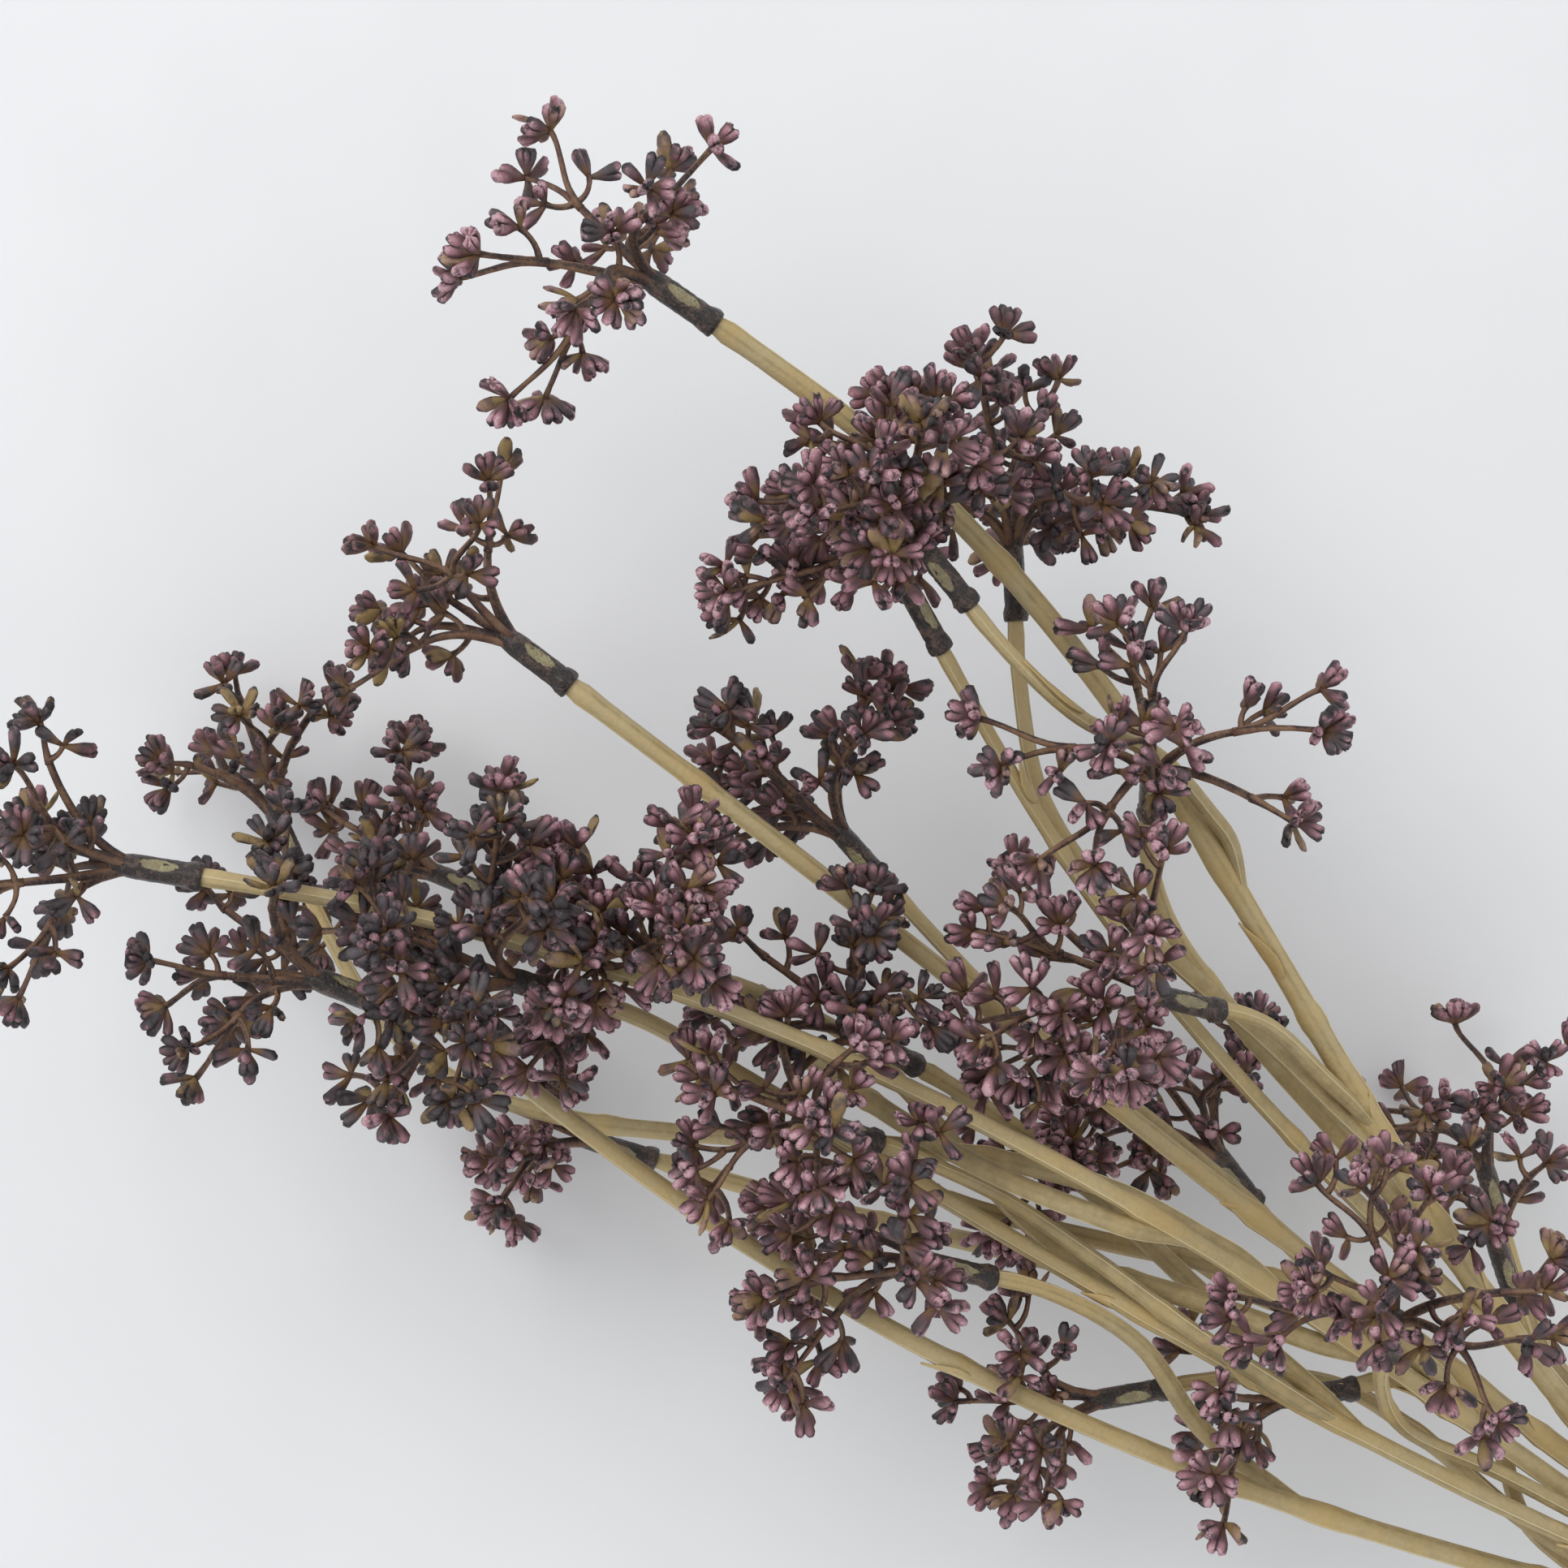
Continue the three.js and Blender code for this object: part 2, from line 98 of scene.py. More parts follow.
def nearest(points: Array, place: Array) -> int:
    """Which of the points is nearest to a place."""
    return int(np.argmin(gaps(points, place)))


def spokes(turns: Array | float, side: Array, across: Array) -> Array:
    """The directions at these angles, measured from the side towards the across direction."""
    return np.cos(turns)[..., None] * side + np.sin(turns)[..., None] * across


def corner_turns(corners: int) -> Array:
    """The angles of evenly spaced corners."""
    return np.arange(corners) * TAU / corners


def ease(values: Array | float, low: float, high: float) -> Array:
    """A smooth rise from 0 at low to 1 at high."""
    share = np.clip((np.asarray(values, float) - low) / (high - low), 0, 1)
    return share * share * (3 - 2 * share)


def hump(values: Array | float, middle: float, width: float) -> Array:
    """A bell that is 1 at its middle."""
    return np.exp(-(((np.asarray(values, float) - middle) / width) ** 2))


def bezier(corners: Sequence[Array], count: int) -> Array:
    """A Bezier curve.

    Args:
        corners: its control points, two or more.
        count: how many points to give.

    Returns:
        The points, one a row.
    """
    share = np.linspace(0, 1, count)[:, None]
    level = [np.repeat(np.asarray(c, float)[None], count, axis=0) for c in corners]
    while len(level) > 1:
        level = [a + (b - a) * share for a, b in zip(level, level[1:])]
    return level[0]


def through(points: Array, step: float) -> Array:
    """A smooth curve through points.

    Args:
        points: the points to pass, in order.
        step: about how far apart the curve's points are.

    Returns:
        The curve's points, evenly spaced.
    """
    ends = np.vstack([2 * points[0] - points[1], points, 2 * points[-1] - points[-2]])
    fine = []
    share = np.linspace(0, 1, 16, endpoint=False)[:, None]
    for p, q, r, s in zip(ends, ends[1:], ends[2:], ends[3:]):
        cubic = 2 * q + (r - p) * share + (2 * p - 5 * q + 4 * r - s) * share**2
        fine.append((cubic + (3 * q - p - 3 * r + s) * share**3) / 2)
    return evenly(np.vstack([*fine, points[-1:]]), step)


def walk(points: Array) -> Array:
    """How far along the line each of its points is."""
    return np.concatenate([[0], np.cumsum(np.linalg.norm(np.diff(points, axis=0), axis=1))])


def evenly(points: Array, step: float) -> Array:
    """The same line with its points about a step apart."""
    walked = walk(points)
    wanted = np.linspace(0, walked[-1], max(3, int(round(walked[-1] / step)) + 1))
    return np.stack([np.interp(wanted, walked, points[:, i]) for i in range(3)], axis=1)


def square_to(direction: Array) -> Array:
    """A direction at a right angle to this one, as near upright as it can be."""
    helper = UP if abs(direction[2]) < 0.9 else np.array([1.0, 0.0, 0.0])
    return unit(helper - direction * (helper @ direction))


def sides_along(path: Array, side: Array | None = None) -> tuple[Array, Array]:
    """Sideways directions that follow a path without twisting.

    Args:
        path: the points of the path.
        side: the sideways direction at its start, or None for the most upright one.

    Returns:
        The side, and the direction across the side and the path, at each point.
    """
    side = square_to(unit(path[1] - path[0])) if side is None else side
    headings = unit(np.gradient(path, axis=0))
    sides = np.empty_like(path)
    for i, heading in enumerate(headings):
        side = unit(side - heading * (side @ heading))
        sides[i] = side
    return sides, np.cross(headings, sides)


def seeded(name: str) -> np.random.Generator:
    """A stream of random numbers that is the same on each run."""
    return np.random.default_rng(zlib.crc32(name.encode()))


# ---- skins and pieces


@dataclass
class Form:
    """A closed skin: points, four-sided and three-sided faces, and values painted on the points."""

    points: Array
    quads: Array
    tris: Array
    paint: dict[str, Array] = field(default_factory=dict)

    def copies(self, turns: Array, places: Array, **paint: Array) -> "Form":
        """Many copies of this form as one.

        Args:
            turns: a 3 by 3 matrix for each copy, which turns and scales it.
            places: where each copy's origin goes.
            paint: further painted values, one for each copy.

        Returns:
            The joined form.
        """
        count, size = len(places), len(self.points)
        points = np.einsum("mij,pj->mpi", turns, self.points) + places[:, None]
        offsets = (np.arange(count) * size)[:, None, None]
        painted = {name: np.tile(values, count) for name, values in self.paint.items()}
        painted.update({name: np.repeat(values, size) for name, values in paint.items()})
        quads = (self.quads[None] + offsets).reshape(-1, 4)
        return Form(points.reshape(-1, 3), quads, (self.tris[None] + offsets).reshape(-1, 3), painted)


def skin(rings: Array, end: Array | None = None, **paint: Array) -> Form:
    """A closed skin over a row of rings, with a fan of faces at each end.

    Args:
        rings: the points, as rings by corners by 3.
        end: the middle of the last ring's cap, or None for the ring's own middle.
        paint: painted values, rings by corners.

    Returns:
        The form.
    """
    count, corners = rings.shape[:2]
    grid = np.arange(count * corners).reshape(count, corners)
    after = np.roll(grid, -1, axis=1)
    quads = np.stack([grid[:-1], after[:-1], after[1:], grid[1:]], axis=-1).reshape(-1, 4)
    hub = np.full(corners, count * corners)
    fans = [np.stack([hub, after[0], grid[0]], axis=1), np.stack([hub + 1, grid[-1], after[-1]], axis=1)]
    tips = [rings[0].mean(axis=0), rings[-1].mean(axis=0) if end is None else end]
    painted = {}
    for name, values in paint.items():
        values = np.broadcast_to(values, (count, corners))
        painted[name] = np.concatenate([values.ravel(), [values[0].mean(), values[-1].mean()]])
    return Form(np.vstack([rings.reshape(-1, 3), tips]), quads, np.vstack(fans), painted)


def swept(path: Array, radii: Array, turns: Array, **paint: Array) -> Form:
    """A closed rod along a path.

    Args:
        path: the points of its centre line.
        radii: its radius at each point and corner.
        turns: the angle of each corner.
        paint: painted values, points by corners.

    Returns:
        The rod's form.
    """
    sides, across = sides_along(path)
    ways = spokes(turns[None], sides[:, None], across[:, None])
    return skin(path[:, None] + radii[..., None] * ways, **paint)


def new_mesh(name: str, points: Array, quads: Array, tris: Array, smooth: bool) -> bpy.types.Mesh:
    """A mesh in metres.

    Args:
        name: its name.
        points: its points, in millimetres.
        quads: its four-sided faces.
        tris: its three-sided faces, which come after the others.
        smooth: whether its shading is smooth.

    Returns:
        The mesh.
    """
    mesh = bpy.data.meshes.new(name)
    mesh.vertices.add(len(points))
    mesh.vertices.foreach_set("co", (points * MM).astype(np.float32).ravel())
    mesh.loops.add(quads.size + tris.size)
    mesh.loops.foreach_set("vertex_index", np.concatenate([quads.ravel(), tris.ravel()]))
    starts = np.concatenate([np.arange(len(quads)) * 4, quads.size + np.arange(len(tris)) * 3])
    mesh.polygons.add(len(starts))
    mesh.polygons.foreach_set("loop_start", starts)
    mesh.polygons.foreach_set("use_smooth", np.full(len(starts), smooth))
    mesh.update(calc_edges=True)
    return mesh


def placed(name: str, data: bpy.types.ID) -> bpy.types.Object:
    """A new object in the scene that shows some data."""
    made = bpy.data.objects.new(name, data)
    bpy.context.scene.collection.objects.link(made)
    return made


class Piece:
    """One finished piece of the bunch, which stands for a node of the frame."""

    def __init__(self, node: str) -> None:
        """Starts an empty piece for a node."""
        self.node = node
        self.forms: list[Form] = []
        self.slots: list[int] = []
        self.materials: list[bpy.types.Material] = []

    def add(self, form: Form, material: bpy.types.Material) -> None:
        """Adds a form in a material."""
        if material not in self.materials:
            self.materials.append(material)
        self.forms.append(form)
        self.slots.append(self.materials.index(material))

    def build(self, slot: str) -> bpy.types.Object:
        """Writes the mesh, and ties it to the frame.

        Args:
            slot: not used.

        Returns:
            The piece's object.
        """
        forms = self.forms
        starts = np.cumsum([0, *(len(form.points) for form in forms)])
        points = np.vstack([form.points for form in forms])
        points[:, 2] = np.maximum(points[:, 2], LOWEST)
        quads = np.vstack([form.quads + start for form, start in zip(forms, starts)])
        tris = np.vstack([form.tris + start for form, start in zip(forms, starts)])
        mesh = new_mesh(self.node + "_dressed", points, quads, tris, True)
        counts = [len(form.quads) for form in forms] + [len(form.tris) for form in forms]
        mesh.polygons.foreach_set("material_index", np.repeat(self.slots * 2, counts))
        for name in sorted({name for form in forms for name in form.paint}):
            values = [form.paint.get(name, np.zeros(len(form.points))) for form in forms]
            layer = mesh.attributes.new(name, "FLOAT", "POINT")
            layer.data.foreach_set("value", np.concatenate(values).astype(np.float32))
        for material in self.materials:
            mesh.materials.append(material)
        made = placed(self.node + "_dressed", mesh)
        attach(made, BODY)
        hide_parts(self.node)
        log.info("%s: %d faces", made.name, sum(counts))
        return made


# ---- reading the frame


class FrameReader:
    """Reads centre lines and cluster places out of the frame's meshes, in millimetres."""

    CLUSTER_EDGE = 5 * math.sqrt(2)
    CLUSTER_DEPTH = 5 / math.sqrt(3)
    EDGE_SLACK = 0.05
    VOTE_REACH = 0.5
    FEWEST_VOTES = 4
    RING_REACH = 5.2
    MERGE = 0.01

    @classmethod
    def corners(cls, node: str) -> tuple[Array, Array]:
        """A node's shape.

        Args:
            node: the node.

        Returns:
            Its points, each once, and its triangles.
        """
        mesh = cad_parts[node].data
        points = np.empty(len(mesh.vertices) * 3)
        mesh.vertices.foreach_get("co", points)
        mesh.calc_loop_triangles()
        tris = np.empty(len(mesh.loop_triangles) * 3, int)
        mesh.loop_triangles.foreach_get("vertices", tris)
        keys = np.round(points.reshape(-1, 3) / MM / cls.MERGE)
        merged, where = np.unique(keys, axis=0, return_inverse=True)
        return merged * cls.MERGE, where.reshape(-1)[tris.reshape(-1, 3)]

    @classmethod
    def rod_line(cls, node: str, tip_near: Array) -> tuple[Array, float]:
        """A rod's centre line.

        Args:
            node: the rod's node.
            tip_near: a point near which the rod ends.

        Returns:
            The middles of its rings from root to tip, and its radius.
        """
        points, tris = cls.corners(node)
        ring_of = np.full(len(points), -1)
        middles = []
        for i, point in enumerate(points):
            if ring_of[i] < 0:
                near = gaps(points, point) < cls.RING_REACH
                ring_of[near] = len(middles)
                middles.append(points[near].mean(axis=0))
        linked: dict[int, set[int]] = {i: set() for i in range(len(middles))}
        for a, b in ring_of[np.vstack([tris[:, [0, 1]], tris[:, [1, 2]], tris[:, [2, 0]]])]:
            if a != b:
                linked[a].add(b)
        order = [i for i, others in linked.items() if len(others) == 1][:1]
        while len(order) < len(middles):
            order.append([i for i in linked[order[-1]] if i not in order[-2:]][0])
        line = np.array([middles[i] for i in order])
        radius = float(gaps(points[ring_of == order[0]], line[0]).mean())
        if gaps(line[0], tip_near) < gaps(line[-1], tip_near):
            line = line[::-1]
        return line, radius

    @classmethod
    def clusters(cls, node: str) -> tuple[Array, Array]:
        """An umbel's clusters, found from the faces of their eight-sided solids.

        Args:
            node: the umbel's node.

        Returns:
            The clusters' middles, and the direction each faces, away from its ray.
        """
        points, tris = cls.corners(node)
        corners = points[tris]
        sides = gaps(corners[:, [1, 2, 0]], corners)
        whole = corners[(np.abs(sides - cls.CLUSTER_EDGE) < cls.EDGE_SLACK).all(axis=1)]
        normals = unit(np.cross(whole[:, 1] - whole[:, 0], whole[:, 2] - whole[:, 0]))
        votes = whole.mean(axis=1) - normals * cls.CLUSTER_DEPTH
        middles, facings = [], []
        left = np.ones(len(votes), bool)
        while left.any():
            near = left & (gaps(votes, votes[np.argmax(left)]) < cls.VOTE_REACH)
            left &= ~near
            if near.sum() >= cls.FEWEST_VOTES:
                middles.append(votes[near].mean(axis=0))
                facings.append(normals[near].sum(axis=0))
        return np.array(middles), unit(np.array(facings))


# ---- shader maths


def colour(red: float, green: float, blue: float) -> tuple[float, float, float, float]:
    """A display colour, 0 to 255 a channel, as the linear values that a shader takes."""
    shares = [c / 255 for c in (red, green, blue)]
    linear = [s / 12.92 if s <= 0.04045 else ((s + 0.055) / 1.055) ** 2.4 for s in shares]
    return (*linear, 1.0)


def operators(operation: str) -> tuple[Callable, Callable]:
    """The methods that work out an operation with a Math node.

    Args:
        operation: the node's operation.

    Returns:
        The method for value and other, and the reflected one for other and value.
    """

    def straight(value: "Value", other: "Value | float") -> "Value":
        """The operation on value and other."""
        return value.shader.node("ShaderNodeMath", {"operation": operation}, {0: value, 1: other})

    def reflected(value: "Value", other: float) -> "Value":
        """The operation on other and value."""
        return value.shader.node("ShaderNodeMath", {"operation": operation}, {0: other, 1: value})

    return straight, reflected


class Value:
    """One shader socket. An expression on it adds the Math nodes that work it out."""

    def __init__(self, shader: "Shader", socket: bpy.types.NodeSocket) -> None:
        """Wraps an output socket."""
        self.shader = shader
        self.socket = socket

    __add__, __radd__ = operators("ADD")
    __sub__, __rsub__ = operators("SUBTRACT")
    __mul__, __rmul__ = operators("MULTIPLY")

    def between(self, low: float, high: float) -> "Value":
        """A smooth rise from 0 at low to 1 at high."""
        settings = {"interpolation_type": "SMOOTHSTEP"}
        return self.shader.node("ShaderNodeMapRange", settings, {0: self, 1: low, 2: high, 3: 0.0, 4: 1.0})


class Shader:
    """Builds the nodes of one material."""

    def __init__(self, name: str) -> None:
        """Starts a material with a Principled shader."""
        self.material = bpy.data.materials.new(name)
        self.material.use_nodes = True
        self.tree = self.material.node_tree
        self.place = self.node("ShaderNodeTexCoord", output="Object")

    def feed(self, node: bpy.types.Node, inputs: dict) -> None:
        """Gives values or links to a node's sockets.

        Args:
            node: the node.
            inputs: the values or links, by socket name or number.
        """
        for key, value in inputs.items():
            if isinstance(value, Value):
                self.tree.links.new(value.socket, node.inputs[key])
            else:
                node.inputs[key].default_value = value

    def node(self, kind: str, settings: dict | None = None, inputs: dict | None = None,
             output: int | str = 0) -> Value:
        """Adds a node.

        Args:
            kind: the node's type.
            settings: its settings, which are set first.
            inputs: values or links for its sockets, by name or number.
            output: the socket to give back.

        Returns:
            The output as a value.
        """
        made = self.tree.nodes.new(kind)
        for name, value in (settings or {}).items():
            setattr(made, name, value)
        self.feed(made, inputs or {})
        return Value(self, made.outputs[output])

    def painted(self, name: str) -> Value:
        """A value painted on the mesh."""
        return self.node("ShaderNodeAttribute", {"attribute_name": name}, output="Fac")

    def noise(self, size: float, detail: float = 3.0) -> Value:
        """Soft noise, from 0 to 1, whose blotches are about this many millimetres across."""
        inputs = {"Vector": self.place, "Scale": 1 / (size * MM), "Detail": detail, "Roughness": 0.55}
        return self.node("ShaderNodeTexNoise", None, inputs).between(0.3, 0.7)

    def mix(self, share: Value | float, first: Value | tuple, second: Value | tuple) -> Value:
        """A colour that goes from the first to the second."""
        settings = {"data_type": "RGBA"}
        return self.node("ShaderNodeMix", settings, {0: share, 6: first, 7: second}, output=2)

    def close(self, base: Value, roughness: Value | float, height: Value, depth: float,
              **constants: float) -> bpy.types.Material:
        """Feeds the surface shader.

        Args:
            base: its colour.
            roughness: its roughness.
            height: the height of its relief, 0 to 1.
            depth: how far the relief reaches, in millimetres.
            constants: further values of the surface shader, by socket name with _ for a space.

        Returns:
            The finished material.
        """
        relief = {"Height": height, "Strength": 1.0, "Distance": depth * MM}
        inputs = {name.replace("_", " "): value for name, value in constants.items()}
        inputs.update({"Base Color": base, "Roughness": roughness})
        inputs["Normal"] = self.node("ShaderNodeBump", None, relief, "Normal")
        self.feed(self.tree.nodes["Principled BSDF"], inputs)
        return self.material


# ---- finishes


@dataclass(frozen=True)
class PetalFinish:
    """Sprayed floret plastic: mauve lobes with a painted highlight in lilac, charcoal creases and edges, and
    olive-brown feet.
    """

    lilac_highlight: tuple = colour(200, 160, 170)
    mauve: tuple = colour(160, 114, 124)
    plum: tuple = colour(102, 72, 76)
    charcoal: tuple = colour(48, 41, 43)
    ash: tuple = colour(90, 83, 87)
    umber: tuple = colour(116, 86, 60)
    olive: tuple = colour(150, 126, 82)

    def material(self) -> bpy.types.Material:
        """The finish as a material."""
        s = Shader("petal_finish")
        lobe, crease, along = s.painted("lobe"), s.painted("crease"), s.painted("along")
        blush, soot, rust, husk = (s.painted(name) for name in ("blush", "soot", "rust", "husk"))
        patch, speck = s.noise(2.4), s.noise(0.4, 4.0)
        pink = lobe * (0.3 + blush * 0.9) * (0.7 + patch * 0.5)
        body = s.mix(pink.between(0.1, 0.6), self.plum, self.mauve)
        # Painted highlight: lilac specks on the tops of the lobes, over the mauve spray.
        body = s.mix((pink * (0.6 + speck * 0.6)).between(0.5, 1.0), body, self.lilac_highlight)
        body = s.mix((soot * (0.4 + (1 - patch) * 1.1)).between(0.15, 0.7), body, self.ash)
        foot = (1 - along.between(0.2, 0.62)) * (0.5 + rust * 0.6) + rust * 0.4 + husk * (0.6 + patch * 0.6)
        earth = s.mix((husk + patch * 0.5).between(0.3, 1.0), self.umber, self.olive)
        body = s.mix(foot.between(0.15, 0.95), body, earth)
        tip = along.between(0.8, 1.0) * (0.25 + (1 - patch) * 0.5)
        dark = crease + tip + soot * 0.3 + (1 - patch) * 0.35 + (1 - speck) * 0.15 - blush * 0.12
        base = s.mix(dark.between(0.36, 1.0), body, self.charcoal)
        rough = 0.42 + speck * 0.25
        height = (1 - crease) * 0.6 + speck * 0.4
        return s.close(base, rough, height, 0.1, Specular_IOR_Level=0.45)


@dataclass(frozen=True)
class RayFinish:
    """The thin flower rays: brown plastic, with painted shade in charcoal along two opposite sides."""

    khaki: tuple = colour(136, 106, 82)
    rust: tuple = colour(108, 74, 60)
    charcoal: tuple = colour(48, 40, 42)
    slate: tuple = colour(78, 78, 76)

    def material(self) -> bpy.types.Material:
        """The finish as a material."""
        s = Shader("ray_finish")
        ridge = s.painted("ridge")
        patch, speck = s.noise(3.5), s.noise(0.5, 4.0)
        body = s.mix(patch, self.rust, self.khaki)
        # Painted shade: charcoal on the sides between the ridge bands, with random charcoal flecks.
        dark = (1 - ridge) * 0.6 + (1 - speck) * 0.3 + (1 - patch) * 0.25
        base = s.mix(dark.between(0.3, 1.0), body, self.charcoal)
        base = s.mix(((1 - patch) * speck).between(0.45, 0.9) * 0.5, base, self.slate)
        return s.close(base, 0.5 + speck * 0.2, speck * 0.5 + ridge * 0.5, 0.15, Specular_IOR_Level=0.4)


@dataclass(frozen=True)
class SleeveFinish:
    """The sleeve over a stem's tip: near-black plastic with a slot that shows the pale stem."""

    black: tuple = colour(46, 39, 38)
    brown: tuple = colour(98, 78, 68)
    olive: tuple = colour(176, 166, 126)

    def material(self) -> bpy.types.Material:
        """The finish as a material."""
        s = Shader("sleeve_finish")
        window = s.painted("window").between(0.42, 0.58)
        patch, speck = s.noise(2.0), s.noise(0.5, 4.0)
        body = s.mix((patch * 0.7 + speck * 0.4).between(0.4, 1.0), self.black, self.brown)
        pale = s.mix(patch * 0.45, self.olive, self.brown)
        base = s.mix(window * 0.95, body, pale)
        rough = 0.26 + speck * 0.25
        return s.close(base, rough, patch * 0.5 + speck * 0.5, 0.35, Specular_IOR_Level=0.55, Coat_Weight=0.2)


@dataclass(frozen=True)
class StemFinish:
    """The stems' plastic: khaki, with painted shade in olive in the grooves and towards the roots, and a
    painted highlight in straw along the mould ridges.
    """

    khaki: tuple = colour(192, 175, 134)
    straw_highlight: tuple = colour(232, 218, 178)
    olive: tuple = colour(148, 132, 94)
    ochre: tuple = colour(198, 166, 104)

    def material(self) -> bpy.types.Material:
        """The finish as a material."""
        s = Shader("stem_finish")
        ridge, groove, knot, deep = (s.painted(name) for name in ("ridge", "groove", "knot", "deep"))
        patch, speck, streak = s.noise(9.0), s.noise(0.8, 4.0), s.noise(3.0)
        body = s.mix(patch * 0.5, self.khaki, self.ochre)
        # Painted shade: olive in the real grooves.
        body = s.mix((groove * (0.5 + streak * 0.5)).between(0.15, 1.0) * 0.8, body, self.olive)
        # Painted shade: olive that deepens towards the roots, where the stems crowd into the bundle, plus
        # random olive specks.
        body = s.mix((1 - speck) * 0.2 + deep * (0.25 + streak * 0.35), body, self.olive)
        # Painted highlight: straw along the mould ridges.
        body = s.mix(ridge.between(0.25, 0.9) * 0.85, body, self.straw_highlight)
        base = s.mix(knot * 0.35, body, self.ochre)
        return s.close(base, 0.48 + speck * 0.2, speck * 0.4 + ridge * 0.6, 0.15, Specular_IOR_Level=0.4)


@dataclass(frozen=True)
class TwineFinish:
    """Jute twine: tan fibres, with painted shade in the hollows between the strands."""

    tan: tuple = colour(188, 158, 112)
    pale: tuple = colour(222, 200, 158)
    deep: tuple = colour(112, 86, 54)

    def material(self) -> bpy.types.Material:
        """The finish as a material."""
        s = Shader("twine_finish")
        fibre, patch, speck = s.painted("fibre"), s.noise(2.5), s.noise(0.3, 5.0)
        body = s.mix(patch, self.tan, self.pale)
        # Painted shade: dark brown where the fibre value is low, in the hollows between the strands, with
        # random dark specks.
        base = s.mix(((1 - fibre) * 0.6 + (1 - speck) * 0.5).between(0.3, 0.95), body, self.deep)
        return s.close(base, 0.9, fibre * 0.5 + speck * 0.5, 0.3, Specular_IOR_Level=0.2)


@dataclass(frozen=True)
class TableFinish:
    """A plain matt white table."""

    white: tuple = colour(236, 237, 239)
    shade: tuple = colour(233, 234, 236)

    def material(self) -> bpy.types.Material:
        """The finish as a material."""
        s = Shader("table_finish")
        patch = s.noise(60.0, 2.0)
        return s.close(s.mix(patch, self.white, self.shade), 0.85, patch, 0.02, Specular_IOR_Level=0.2)


class Palette:
    """Every finish of the bunch, made once."""

    def __init__(self) -> None:
        """Makes the materials."""
        self.petal = PetalFinish().material()
        self.ray = RayFinish().material()
        self.sleeve = SleeveFinish().material()
        self.stem = StemFinish().material()
        self.twine = TwineFinish().material()
        self.table = TableFinish().material()


# ---- flowers


class Tone(Enum):
    """How an umbel was sprayed: shares of blush, soot and rust."""

    MAUVE = (0.62, 0.18, 0.22)
    PINK = (0.85, 0.10, 0.15)
    SMOKY = (0.72, 0.34, 0.15)
    PALE = (0.95, 0.22, 0.12)
    PLUM = (0.30, 0.30, 0.25)
    GREY = (0.25, 0.60, 0.35)
    BROWN = (0.22, 0.25, 0.75)


# The tones of the umbels that aren't mauve.
TONES = {
    "a": Tone.PALE, "a3": Tone.PLUM, "a4": Tone.SMOKY, "a6": Tone.PLUM, "a7": Tone.PINK,
    "b": Tone.BROWN, "b1": Tone.PLUM, "b3": Tone.PINK, "c": Tone.GREY, "c1": Tone.BROWN,
    "c2": Tone.BROWN, "c4": Tone.PINK, "d": Tone.GREY, "d1": Tone.PLUM, "d4": Tone.PINK,
    "e": Tone.GREY, "e2": Tone.PALE,
}

# How many side twigs each ray and twig of an umbel may have.
USUAL_FULLNESS = 2
FULLNESS = {
    "a": 1, "a1": 4, "a2": 4, "a3": 3, "a4": 1, "a5": 1, "a6": 1, "a7": 3, "b": 1, "b1": 3, "b3": 3,
    "c": 1, "c1": 1, "c2": 3, "d": 4, "d1": 3, "d3": 9, "d4": 3, "e": 1, "e1": 3, "e2": 1,
}


